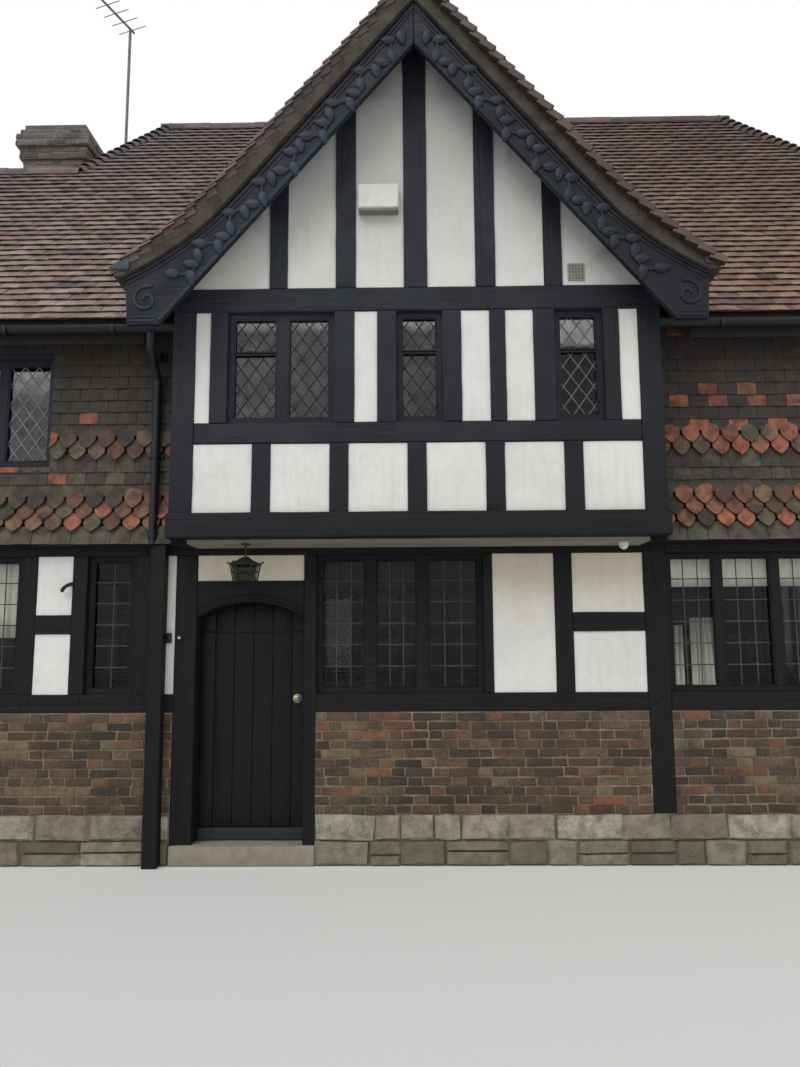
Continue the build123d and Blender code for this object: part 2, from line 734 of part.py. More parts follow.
with BuildPart() as bay_posts:
    BAY_FACE.box((-BAY_HALF, -BAY_INNER), bay_depth, (BRESSUMMER_TOP, TIE_BOTTOM))
    BAY_FACE.box((BAY_INNER, BAY_HALF), bay_depth, (BRESSUMMER_TOP, TIE_BOTTOM))
    lower_studs = [(start - BAY_STUD, start) for start in lower_starts[1:]]
    BAY_FACE.boxes(lower_studs, bay_depth, (BRESSUMMER_TOP, MIDDLE_RAIL_BOTTOM))
    BAY_FACE.boxes(bay_row["stud"], bay_depth, (MIDDLE_RAIL_TOP, TIE_BOTTOM))
    gable_piece(-KING_POST_HALF, KING_POST_HALF, 0)
    for near, far in GABLE_STUDS:
        gable_piece(near, far, 0)
        gable_piece(-far, -near, 0)
save(bay_posts, "bay_posts")

# Panels of the bay and of its gable
gable_edges = [KING_POST_HALF] + [edge for span in GABLE_STUDS for edge in span]
with BuildPart() as bay_panels:
    bay_panel_depth = (PANEL_SETBACK, BAY_WALL - PANEL_SETBACK)
    lower_panels = [(start, start + lower_panel) for start in lower_starts]
    BAY_FACE.boxes(lower_panels, bay_panel_depth, (BRESSUMMER_TOP, MIDDLE_RAIL_BOTTOM))
    BAY_FACE.boxes(bay_row["strip"], bay_panel_depth, (MIDDLE_RAIL_TOP, TIE_BOTTOM))
    for near, far in zip(gable_edges[::2], gable_edges[1::2]):
        gable_piece(near, far, PANEL_SETBACK)
        gable_piece(-far, -near, PANEL_SETBACK)
    last = gable_edges[-1]
    for hand in (-1, 1):
        corner = [(hand * last, TIE_TOP), (hand * BAY_HALF, TIE_TOP), (hand * last, bay_under(last))]
        prism(facing(BAY_FRONT + PANEL_SETBACK), corner, 2 * PANEL_SETBACK - BAY_WALL)
save(bay_panels, "bay_panels")

# The short side walls that join the bay to the range
with BuildPart() as bay_cheeks:
    for hand in (-1, 1):
        outline = (
            (hand * BAY_INNER, FIRST_FLOOR),
            (hand * BAY_HALF, FIRST_FLOOR),
            (hand * BAY_HALF, bay_under(BAY_HALF)),
            (hand * BAY_INNER, bay_under(BAY_INNER)),
        )
        prism(facing(BAY_BACK), outline, BAY_BACK - FRONT)
save(bay_cheeks, "bay_cheeks")

# Upper walls under the tiles: long walls run up to the roof's slope, end walls stand between them
long_walls = (
    (FRONT_WALL, WING_LEFT, -BAY_INNER),
    (FRONT_WALL, BAY_INNER, MAIN_RIGHT),
    (REAR_WALL, REAR_WALL.start, REAR_WALL.end),
    (WING_REAR_WALL, WING_REAR_WALL.start, WING_REAR_WALL.end),
)


def sloped_wall(wall, start, end, near, far, bottom):
    """Adds to the open part a long wall or skin whose top follows the roof's underside."""
    along = Vector(1, 0, 0).rotate(Axis.Z, wall.place.orientation.Z)
    inwards = Vector(0, 1, 0).rotate(Axis.Z, wall.place.orientation.Z)
    origin = wall.place.position + along * start
    prism(
        Plane(origin=origin, x_dir=inwards, z_dir=along),
        ((near, bottom), (far, bottom), (far, roof_under(far)), (near, roof_under(near))),
        end - start,
    )


def cut_upper_windows(walls, near, far):
    """Cuts the upper windows of some walls through the open part."""
    for wall, left, right, _, _ in UPPER_WINDOWS:
        if wall in walls:
            height = (UPPER_WINDOW_BOTTOM, UPPER_WINDOW_TOP)
            wall.box((left, right), (near, far), height, Mode.SUBTRACT)


with BuildPart() as upper_long_walls:
    for wall, start, end in long_walls:
        sloped_wall(wall, start, end, 0, UPPER_WALL, FIRST_FLOOR)
    cut_upper_windows((FRONT_WALL, REAR_WALL, WING_REAR_WALL), 0, UPPER_WALL)
save(upper_long_walls, "upper_long_walls")


def gable_outline(front, rear, bottom, inset):
    """The outline of an end wall under a ridged roof, inset from the long walls' faces."""
    half = (rear - front) / 2
    return (
        (front + inset, bottom),
        (rear - inset, bottom),
        (rear - inset, roof_under(inset)),
        ((front + rear) / 2, roof_under(half)),
        (front + inset, roof_under(inset)),
    )


def hip_trim(end, inwards, bottom, thickness):
    """Keeps of the open part what is under the half hip at one end of the range."""
    under = WING_RIDGE - ROOF_DROP
    outline = (
        (end, bottom),
        (end + inwards * thickness, bottom),
        (end + inwards * thickness, under + TAN_HIP * thickness),
        (end, under),
    )
    prism(facing(FRONT), outline, -MAIN_DEPTH, Mode.INTERSECT)


with BuildPart() as right_end_wall:
    prism(
        side(MAIN_RIGHT - UPPER_WALL), gable_outline(FRONT, REAR, FIRST_FLOOR, UPPER_WALL), UPPER_WALL
    )
    hip_trim(MAIN_RIGHT, -1, FIRST_FLOOR, UPPER_WALL)
    cut_upper_windows((RIGHT_WALL,), 0, UPPER_WALL)

with BuildPart() as upper_end_walls:
    add(right_end_wall.part)
    prism(side(WING_LEFT), gable_outline(FRONT, WING_REAR, FIRST_FLOOR, UPPER_WALL), UPPER_WALL)
    RETURN_WALL.box(
        (-REAR + UPPER_WALL, -WING_REAR + UPPER_WALL), (0, UPPER_WALL), (FIRST_FLOOR, GABLE_BEAM)
    )
    cut_upper_windows((LEFT_WALL,), 0, UPPER_WALL)
save(upper_end_walls, "upper_end_walls")

# The range's left gable rises over the wing from a beam at the eaves
with BuildPart() as left_gable_wall:
    prism(side(MAIN_LEFT), gable_outline(FRONT, REAR, GABLE_BEAM, UPPER_WALL), UPPER_WALL)
    hip_trim(MAIN_LEFT, 1, GABLE_BEAM, UPPER_WALL)
save(left_gable_wall, "left_gable_wall")

# Hung tiles on the upper walls, also where the range's left end shows beside and above the wing
hip_foot = WING_DEPTH / 2
front_ridge = MAIN_DEPTH / 2
skin_walls = (
    (FRONT_WALL, WING_LEFT, -BAY_HALF),
    (FRONT_WALL, BAY_HALF, MAIN_RIGHT),
    (REAR_WALL, REAR_WALL.start, REAR_WALL.end + TILE_SKIN),
    (WING_REAR_WALL, WING_REAR_WALL.start + TILE_SKIN, WING_REAR_WALL.end),
)
with BuildPart() as hung_tiles_long_walls:
    for wall, start, end in skin_walls:
        sloped_wall(wall, start, end, -TILE_SKIN, 0, TILE_SKIN_BOTTOM)
    cut_upper_windows((FRONT_WALL, REAR_WALL, WING_REAR_WALL), -TILE_SKIN, 0)
save(hung_tiles_long_walls, "hung_tiles_long_walls")

with BuildPart() as right_skin:
    prism(side(MAIN_RIGHT), gable_outline(FRONT, REAR, TILE_SKIN_BOTTOM, 0), TILE_SKIN)
    top_trim = (
        (MAIN_RIGHT, TILE_SKIN_BOTTOM),
        (MAIN_RIGHT + TILE_SKIN, TILE_SKIN_BOTTOM),
        (MAIN_RIGHT + TILE_SKIN, WING_RIDGE - ROOF_DROP),
        (MAIN_RIGHT, WING_RIDGE - ROOF_DROP),
    )
    prism(facing(FRONT), top_trim, -MAIN_DEPTH, Mode.INTERSECT)
    cut_upper_windows((RIGHT_WALL,), -TILE_SKIN, 0)

with BuildPart() as hung_tiles_end_walls:
    add(right_skin.part)
    prism(side(WING_LEFT), gable_outline(FRONT, WING_REAR, TILE_SKIN_BOTTOM, 0), -TILE_SKIN)
    cut_upper_windows((LEFT_WALL,), -TILE_SKIN, 0)
    over_wing = (
        (WING_REAR + TILE_SKIN, TILE_SKIN_BOTTOM),
        (REAR, TILE_SKIN_BOTTOM),
        (REAR, roof_under(0)),
        (REAR - hip_foot, WING_RIDGE - ROOF_DROP),
        (FRONT + hip_foot + ROOF_DROP / TAN_ROOF, WING_RIDGE - ROOF_DROP),
        (WING_REAR + EAVES, roof_top(-EAVES)),
        (WING_REAR + EAVES, roof_under(-EAVES)),
        (WING_REAR + TILE_SKIN, roof_under(-TILE_SKIN)),
    )
    prism(side(MAIN_LEFT), over_wing, -TILE_SKIN)
save(hung_tiles_end_walls, "hung_tiles_end_walls")

# Slopes of the range: the front one in two halves, which leave the bay's attic open between them
notch_top = (BAY_APEX_UNDER - ROOF_OVER_WALL) / TAN_ROOF
notch_foot = BAY_HALF * (1 + EAVES / notch_top)


def slope(front_run, rear_run, length_start, length_end, face):
    """Adds to the open part a roof slope between two runs behind a wall's face, of even drop."""
    points = [(run, roof_top(run)) for run in (front_run, rear_run)]
    points += [(run, roof_under(run)) for run in (rear_run, front_run)]
    outline = [(face[0] + face[1] * run, height) for run, height in points]
    prism(side(length_start), outline, length_end - length_start)


def plan_trim(points):
    """Keeps of the open part what stands over an outline in plan."""
    prism(Plane.XY, points, 2 * MAIN_RIDGE, Mode.INTERSECT)


with BuildPart() as roof_front_left:
    slope(-EAVES, front_ridge, MAIN_LEFT, 0, (FRONT, 1))
    plan_trim(
        (
            (MAIN_LEFT, FRONT - EAVES),
            (-notch_foot, FRONT - EAVES),
            (0, FRONT + notch_top),
            (0, FRONT + front_ridge),
            (MAIN_LEFT + HIP_RUN, FRONT + front_ridge),
            (MAIN_LEFT, FRONT + hip_foot),
        )
    )
save(roof_front_left, "roof_front_left")

with BuildPart() as roof_front_right:
    slope(-EAVES, front_ridge, 0, MAIN_RIGHT, (FRONT, 1))
    plan_trim(
        (
            (MAIN_RIGHT, FRONT - EAVES),
            (notch_foot, FRONT - EAVES),
            (0, FRONT + notch_top),
            (0, FRONT + front_ridge),
            (MAIN_RIGHT - HIP_RUN, FRONT + front_ridge),
            (MAIN_RIGHT, FRONT + hip_foot),
        )
    )
save(roof_front_right, "roof_front_right")

with BuildPart() as roof_rear_main:
    slope(-EAVES, front_ridge, MAIN_LEFT, MAIN_RIGHT, (REAR, -1))
    plan_trim(
        (
            (MAIN_LEFT, REAR + EAVES),
            (MAIN_RIGHT, REAR + EAVES),
            (MAIN_RIGHT, REAR - hip_foot),
            (MAIN_RIGHT - HIP_RUN, REAR - front_ridge),
            (MAIN_LEFT + HIP_RUN, REAR - front_ridge),
            (MAIN_LEFT, REAR - hip_foot),
        )
    )
save(roof_rear_main, "roof_rear_main")

with BuildPart() as roof_front_wing:
    slope(-EAVES, hip_foot, WING_LEFT, MAIN_LEFT, (FRONT, 1))
save(roof_front_wing, "roof_front_wing")

with BuildPart() as roof_rear_wing:
    slope(-EAVES, hip_foot, WING_LEFT, MAIN_LEFT, (WING_REAR, -1))
    FRONT_WALL.box(chimney_span, chimney_depth, (FIRST_FLOOR, CHIMNEY_TOP), Mode.SUBTRACT)
save(roof_rear_wing, "roof_rear_wing")


def half_hip(end, inwards):
    """Adds to the open part the half hip at one end of the range."""
    ridge = end + inwards * HIP_RUN
    outline = (
        (end, WING_RIDGE),
        (ridge, MAIN_RIDGE),
        (ridge, MAIN_RIDGE - ROOF_DROP),
        (end, WING_RIDGE - ROOF_DROP),
    )
    prism(facing(-HIP_HALF), outline, -2 * HIP_HALF)


with BuildPart() as half_hips:
    half_hip(MAIN_LEFT, 1)
    half_hip(MAIN_RIGHT, -1)
    with BuildSketch(Plane.XY):
        with BuildLine():
            Polyline(
                (MAIN_LEFT, -HIP_HALF), (MAIN_LEFT + HIP_RUN, 0), (MAIN_LEFT, HIP_HALF), close=True
            )
        make_face()
        with BuildLine():
            Polyline(
                (MAIN_RIGHT, -HIP_HALF), (MAIN_RIGHT - HIP_RUN, 0), (MAIN_RIGHT, HIP_HALF), close=True
            )
        make_face()
    extrude(amount=2 * MAIN_RIDGE, mode=Mode.INTERSECT)
save(half_hips, "half_hips")

# The bargeboards, straight and then flared out to a square foot
FLARE_X = BAY_HALF - FLARE_START
BARGE_TOP_APEX = BAY_APEX_UNDER - BARGE_TOP_GAP
BARGE_LOW_APEX = BARGE_TOP_APEX - BARGE_DROP
BARGE_TIP_X = BAY_HALF + BARGE_TIP


def barge_outline(hand, front):
    """The outline of one bargeboard, on the upright plane at a given Y."""
    start = (hand * FLARE_X, BARGE_TOP_APEX - BAY_ROOF_RISE * FLARE_X)
    tip = (hand * BARGE_TIP_X, BARGE_TIP_LEVEL)
    with BuildSketch(facing(front)) as outline:
        with BuildLine():
            straight = Line((0, BARGE_TOP_APEX), start)
            TangentArc(start, tip, tangent=straight % 1)
            Polyline(
                tip,
                (hand * (BARGE_TIP_X - BARGE_FOOT_SPLAY), BARGE_FOOT),
                (hand * (BARGE_LOW_APEX - BARGE_FOOT) / BAY_ROOF_RISE, BARGE_FOOT),
                (0, BARGE_LOW_APEX),
                (0, BARGE_TOP_APEX),
            )
        make_face()
    return outline.sketch


with BuildPart() as bargeboard_left:
    extrude(barge_outline(-1, BAY_FRONT - BARGE_FRONT), amount=-BARGE_THICKNESS)
save(bargeboard_left, "bargeboard_left")

with BuildPart() as bargeboard_right:
    extrude(barge_outline(1, BAY_FRONT - BARGE_FRONT), amount=-BARGE_THICKNESS)
save(bargeboard_right, "bargeboard_right")

# The bay's roof: its eaves flare out, and it dies on the range's front slope
bay_top_apex = BAY_APEX_UNDER + ROOF_DROP
bay_tip = BAY_HALF + BAY_EAVES


def bay_roof(hand):
    """Adds to the open part one slope of the bay's roof."""
    start = (hand * FLARE_X, bay_top_apex - BAY_ROOF_RISE * FLARE_X)
    tip = (hand * bay_tip, BAY_TIP_TOP)
    with BuildSketch(facing(BAY_FRONT - BAY_ROOF_FRONT)) as outline:
        with BuildLine():
            straight = Line((0, bay_top_apex), start)
            TangentArc(start, tip, tangent=straight % 1)
            Polyline(
                tip,
                (hand * bay_tip, BAY_TIP_BOTTOM),
                (hand * BAY_HALF, bay_under(BAY_HALF)),
                (0, BAY_APEX_UNDER),
                (0, bay_top_apex),
            )
        make_face()
    extrude(outline.sketch, amount=-(BAY_ROOF_FRONT + BAY_PROJECTION + front_ridge))
    barge = barge_outline(hand, BAY_FRONT - BAY_ROOF_FRONT)
    extrude(barge, amount=-BAY_ROOF_FRONT, mode=Mode.SUBTRACT)
    below = (
        (FRONT - BAY_HALF, roof_top(-BAY_HALF)),
        (FRONT + front_ridge, roof_top(front_ridge)),
        (FRONT + front_ridge, 0),
        (FRONT - BAY_HALF, 0),
    )
    prism(side(-2 * bay_tip), below, 4 * bay_tip, Mode.SUBTRACT)


with BuildPart() as bay_roof_left:
    bay_roof(-1)
save(bay_roof_left, "bay_roof_left")

with BuildPart() as bay_roof_right:
    bay_roof(1)
save(bay_roof_right, "bay_roof_right")

# Ridge tiles over the range, the wing and the bay


def ridge_outline(middle, height, rise):
    """The outline of a ridge tile that sits over two slopes of a given rise."""
    foot = height - RIDGE_TILE * rise
    return (
        (middle, height),
        (middle - RIDGE_TILE, foot),
        (middle - RIDGE_TILE, foot + RIDGE_TILE_SIDE),
        (middle - RIDGE_TILE / 2, height + RIDGE_TILE_CROWN),
        (middle + RIDGE_TILE / 2, height + RIDGE_TILE_CROWN),
        (middle + RIDGE_TILE, foot + RIDGE_TILE_SIDE),
        (middle + RIDGE_TILE, foot),
    )


with BuildPart() as ridge_tiles:
    main_start = MAIN_LEFT + HIP_RUN
    prism(side(main_start), ridge_outline(0, MAIN_RIDGE, TAN_ROOF), MAIN_RIGHT - HIP_RUN - main_start)
    prism(side(WING_LEFT), ridge_outline(FRONT + hip_foot, WING_RIDGE, TAN_ROOF), MAIN_LEFT - WING_LEFT)
    reach = BAY_ROOF_FRONT + BAY_PROJECTION + (bay_top_apex - ROOF_OVER_WALL) / TAN_ROOF - RIDGE_TILE
    prism(facing(BAY_FRONT - BAY_ROOF_FRONT), ridge_outline(0, bay_top_apex, BAY_ROOF_RISE), -reach)
save(ridge_tiles, "ridge_tiles")

# Half round gutters along the eaves
gutter_runs = (
    (FRONT - EAVES, -1, WING_LEFT, -BAY_HALF),
    (FRONT - EAVES, -1, BAY_HALF, MAIN_RIGHT),
    (REAR + EAVES, 1, MAIN_LEFT, MAIN_RIGHT),
    (WING_REAR + EAVES, 1, WING_LEFT, MAIN_LEFT - TILE_SKIN),
)
with BuildPart() as gutters:
    for edge, outwards, start, end in gutter_runs:
        with BuildSketch(side(start)):
            with Locations((edge + outwards * GUTTER, GUTTER_TOP)):
                Circle(GUTTER)
                Circle(GUTTER - GUTTER_WALL, mode=Mode.SUBTRACT)
                Rectangle(2 * GUTTER, GUTTER, align=(Align.CENTER, Align.MIN), mode=Mode.SUBTRACT)
        extrude(amount=end - start)
save(gutters, "gutters")

# The downpipe swings back to the wall below the gutter and ends at a boxing
with BuildPart() as downpipe:
    gutter_y = FRONT - EAVES - GUTTER
    pipe_y = FRONT - PIPE_STANDOFF
    neck = gutter_y - pipe_y
    with BuildLine():
        FilletPolyline(
            (PIPE_X, gutter_y, GUTTER_TOP - GUTTER),
            (PIPE_X, gutter_y, GUTTER_TOP - GUTTER - PIPE_DROP),
            (PIPE_X, pipe_y, GUTTER_TOP - GUTTER - PIPE_DROP + neck),
            (PIPE_X, pipe_y, HEAD_TOP),
            radius=PIPE_BEND,
        )
    with BuildSketch(Plane.XY.offset(GUTTER_TOP - GUTTER)):
        with Locations((PIPE_X, gutter_y)):
            Circle(PIPE_RADIUS)
    sweep()
save(downpipe, "downpipe")

with BuildPart() as pipe_boxing:
    FRONT_WALL.box((BOXING_LEFT, BOXING_RIGHT), (-BOXING_DEPTH, 0), (0, HEAD_TOP))
save(pipe_boxing, "pipe_boxing")

# The chimney: a brick stack from the floor, corbelled near its top, with two flues
with BuildPart() as chimney:
    FRONT_WALL.box(chimney_span, chimney_depth, (FLOOR_LEVEL, CHIMNEY_TOP))
    top = CHIMNEY_TOP - CORBEL_COURSE
    for step, courses in CORBELS:
        out = CORBEL_STEP * step
        bottom = top - CORBEL_COURSE * courses
        FRONT_WALL.box(
            (CHIMNEY_LEFT - out, CHIMNEY_RIGHT + out),
            (chimney_depth[0] - out, chimney_depth[1] + out),
            (bottom, top),
        )
        top = bottom
    middle = (CHIMNEY_LEFT + CHIMNEY_RIGHT) / 2
    for centre in (CHIMNEY_DEPTH / 4, CHIMNEY_DEPTH * 3 / 4):
        FRONT_WALL.box(
            (middle - FLUE / 2, middle + FLUE / 2),
            (chimney_depth[0] + centre - FLUE / 2, chimney_depth[0] + centre + FLUE / 2),
            (FIRST_FLOOR, CHIMNEY_TOP),
            Mode.SUBTRACT,
        )
save(chimney, "chimney")

# The television aerial: a mast bracketed off the chimney, with a boom on its top and rods on the boom
with BuildPart() as tv_aerial:
    with Locations((MAST_X, MAST_Y, MAST_BOTTOM)):
        Cylinder(MAST_RADIUS, MAST_LENGTH, align=(Align.CENTER, Align.CENTER, Align.MIN))
    for rise in (BRACKET_RISE, BRACKET_RISE + BRACKET_SPACING):
        with Locations((CHIMNEY_RIGHT, MAST_Y, MAST_BOTTOM + rise)):
            Box(
                MAST_X - MAST_RADIUS - AERIAL_GAP - CHIMNEY_RIGHT,
                MAST_RADIUS,
                2 * MAST_RADIUS,
                align=(Align.MIN, Align.CENTER, Align.CENTER),
            )
    boom_place = Location((MAST_X, MAST_Y, MAST_BOTTOM + MAST_LENGTH + AERIAL_GAP), (0, 0, BOOM_ANGLE))
    with Locations(boom_place):
        with Locations((BOOM_LENGTH / 2 - BOOM_TAIL, 0, BOOM_SIZE / 2)):
            Box(BOOM_LENGTH, BOOM_SIZE, BOOM_SIZE)
        for number in range(ELEMENTS):
            along = BOOM_LENGTH * number / ELEMENTS - ELEMENT_INSET
            with Locations((along, 0, BOOM_SIZE + AERIAL_GAP + ELEMENT_RADIUS)):
                Cylinder(ELEMENT_RADIUS, ELEMENT_LENGTH * (1 - number / 20), rotation=(90, 0, 0))
save(tv_aerial, "tv_aerial")

# A six sided lantern on a rod under the jetty
with BuildPart() as lantern:
    lantern_y = FRONT - LANTERN_OUT
    with BuildSketch(Plane.XY.offset(LANTERN_BOTTOM)):
        with Locations((LANTERN_X, lantern_y)):
            RegularPolygon(LANTERN_FOOT, 6)
    with BuildSketch(Plane.XY.offset(LANTERN_TOP - LANTERN_ROOF)):
        with Locations((LANTERN_X, lantern_y)):
            RegularPolygon(LANTERN_SHOULDER, 6)
    loft()
    with BuildSketch(Plane.XY.offset(LANTERN_TOP - LANTERN_ROOF)):
        with Locations((LANTERN_X, lantern_y)):
            RegularPolygon(LANTERN_EAVES, 6)
    with BuildSketch(Plane.XY.offset(LANTERN_TOP)):
        with Locations((LANTERN_X, lantern_y)):
            RegularPolygon(LANTERN_CROWN, 6)
    loft()
    with Locations((LANTERN_X, lantern_y, LANTERN_TOP)):
        Cylinder(LANTERN_HOOK, JETTY_BOTTOM - LANTERN_TOP, align=(Align.CENTER, Align.CENTER, Align.MIN))
save(lantern, "lantern")

# Fittings on the bay: a bare alarm box, an air vent and a small camera under the jetty
with BuildPart() as alarm_box:
    BAY_FACE.box(
        (ALARM_LEFT, ALARM_LEFT + ALARM_WIDTH),
        (-ALARM_DEPTH, PANEL_SETBACK),
        (ALARM_BOTTOM, ALARM_BOTTOM + ALARM_HEIGHT),
    )
save(alarm_box, "alarm_box")

with BuildPart() as wall_vent:
    BAY_FACE.box(
        (VENT_LEFT, VENT_LEFT + VENT_WIDTH),
        (PANEL_SETBACK - VENT_DEPTH, PANEL_SETBACK),
        (VENT_BOTTOM, VENT_BOTTOM + VENT_HEIGHT),
    )
save(wall_vent, "wall_vent")

with BuildPart() as security_camera:
    with Locations((CAMERA_X, FRONT - CAMERA_OUT, JETTY_BOTTOM)):
        Cylinder(CAMERA_RADIUS, CAMERA_RADIUS / 2, align=(Align.CENTER, Align.CENTER, Align.MAX))
    with Locations((CAMERA_X, FRONT - CAMERA_OUT, JETTY_BOTTOM - CAMERA_RADIUS / 2)):
        Sphere(CAMERA_RADIUS * 0.8)
    with Locations((CAMERA_X, FRONT - CAMERA_OUT, JETTY_BOTTOM)):
        Box(
            3 * CAMERA_RADIUS,
            3 * CAMERA_RADIUS,
            CAMERA_RADIUS,
            align=(Align.CENTER, Align.CENTER, Align.MIN),
            mode=Mode.SUBTRACT,
        )
save(security_camera, "security_camera")
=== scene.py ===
"""A half timbered house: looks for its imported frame, in metres, front towards -Y and up along +Z."""

import logging
import math
import random
from collections.abc import Callable, Iterable, Iterator, Sequence
from contextlib import contextmanager
from dataclasses import dataclass, replace
from enum import Enum

import bmesh
import bpy
import numpy as np
from mathutils import Matrix, Vector


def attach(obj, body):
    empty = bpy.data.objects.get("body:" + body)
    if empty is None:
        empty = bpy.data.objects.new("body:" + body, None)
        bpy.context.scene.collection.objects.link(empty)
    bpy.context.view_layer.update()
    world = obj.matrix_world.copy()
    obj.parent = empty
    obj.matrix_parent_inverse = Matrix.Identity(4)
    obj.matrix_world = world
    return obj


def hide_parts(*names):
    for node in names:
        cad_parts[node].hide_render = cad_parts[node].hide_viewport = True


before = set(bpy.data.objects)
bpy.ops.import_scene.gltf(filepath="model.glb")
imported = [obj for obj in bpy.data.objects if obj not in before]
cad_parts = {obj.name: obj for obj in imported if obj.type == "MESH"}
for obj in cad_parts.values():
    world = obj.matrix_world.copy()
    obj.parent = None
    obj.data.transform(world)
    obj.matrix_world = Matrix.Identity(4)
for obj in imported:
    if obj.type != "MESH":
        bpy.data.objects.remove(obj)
LOG = logging.getLogger("house")
Span = tuple[float, float]
Faces = list[tuple[int, ...]]
Colour = tuple[float, float, float, float]
PlaceTest = Callable[[Vector], bool]
Object = bpy.types.Object
Socket = bpy.types.NodeSocket
UP = Vector((0, 0, 1))
LAID_TO_FRONT = (math.radians(90), 0, 0)

# The same main sizes as the frame has, in metres
MAIN_LEFT, MAIN_RIGHT, WING_LEFT = -3.68, 4.44, -6.05
FRONT, REAR, WING_REAR = -2.87, 2.87, 0.952
PLINTH_TOP, SILL_TOP, HEAD_BOTTOM, HEAD_TOP = 0.38, 1.297, 2.4, 2.48
ROOF_OVER_WALL, ROOF_DROP, EAVES = 4.597, 0.2, 0.26
ROOF_PITCH, HIP_PITCH = math.radians(50), math.radians(58)
TAN_ROOF, TAN_HIP = math.tan(ROOF_PITCH), math.tan(HIP_PITCH)
MAIN_HALF, WING_HALF = 2.87, 1.911
MAIN_RIDGE = ROOF_OVER_WALL + TAN_ROOF * MAIN_HALF
WING_RIDGE = ROOF_OVER_WALL + TAN_ROOF * WING_HALF
HIP_RUN = (MAIN_RIDGE - WING_RIDGE) / TAN_HIP
HIP_HALF = (MAIN_RIDGE - WING_RIDGE) / TAN_ROOF
BAY_HALF, BAY_FRONT, BAY_RISE, BAY_EAVES = 1.905, -3.27, 1.17, 4.475
BAY_APEX = BAY_EAVES + BAY_RISE * BAY_HALF + ROOF_DROP
BAY_STEEP = math.atan2(-BAY_RISE, 1.0)
BAY_ROOF_FRONT = BAY_FRONT - 0.345
FLARE_X, BAY_TIP = 1.35, Vector((2.27, 0.0, 4.485))
BRICK_COURSE, TILE_GAUGE, TILE_WIDTH = 0.0705, 0.11, 0.165
CHIMNEY = (-4.66, -3.93, -0.27, 0.53)
UPPER_WINDOW, DOORWAY, HUNG_TOP = (3.15, 4.06), (-1.94, -0.81), 4.35


class Body(Enum):
    """The two moving bodies of the frame."""

    HOUSE = "house"
    DOOR = "door"


class Slot(Enum):
    """The record's material slots."""

    STONE = "stone"
    FLOOR_STONE = "floor_stone"
    BOARDS = "floor_boards"
    SOFFIT = "soffit_paint"
    BRICK = "brick"
    TIMBER = "black_timber"
    DOOR = "door_paint"
    PLASTER = "white_plaster"
    INNER = "inner_plaster"
    HUNG = "hung_tiles"
    ROOF = "roof_tiles"
    GLASS = "leaded_glass"
    IRON = "black_iron"
    BRASS = "brass"
    BAR = "weather_bar"
    PLASTIC = "pale_plastic"
    VENT = "vent_clay"
    AERIAL = "aerial_metal"


def srgb(red: int, green: int, blue: int) -> Colour:
    """Turns a screen colour into the linear colour that shaders use.

    Args:
        red, green, blue: the screen colour, 0 to 255.

    Returns:
        The linear colour with full alpha.
    """
    parts = [c / 255 for c in (red, green, blue)]
    line = [c / 12.92 if c <= 0.04045 else ((c + 0.055) / 1.055) ** 2.4 for c in parts]
    return (line[0], line[1], line[2], 1.0)


# Shader nodes and shared effects


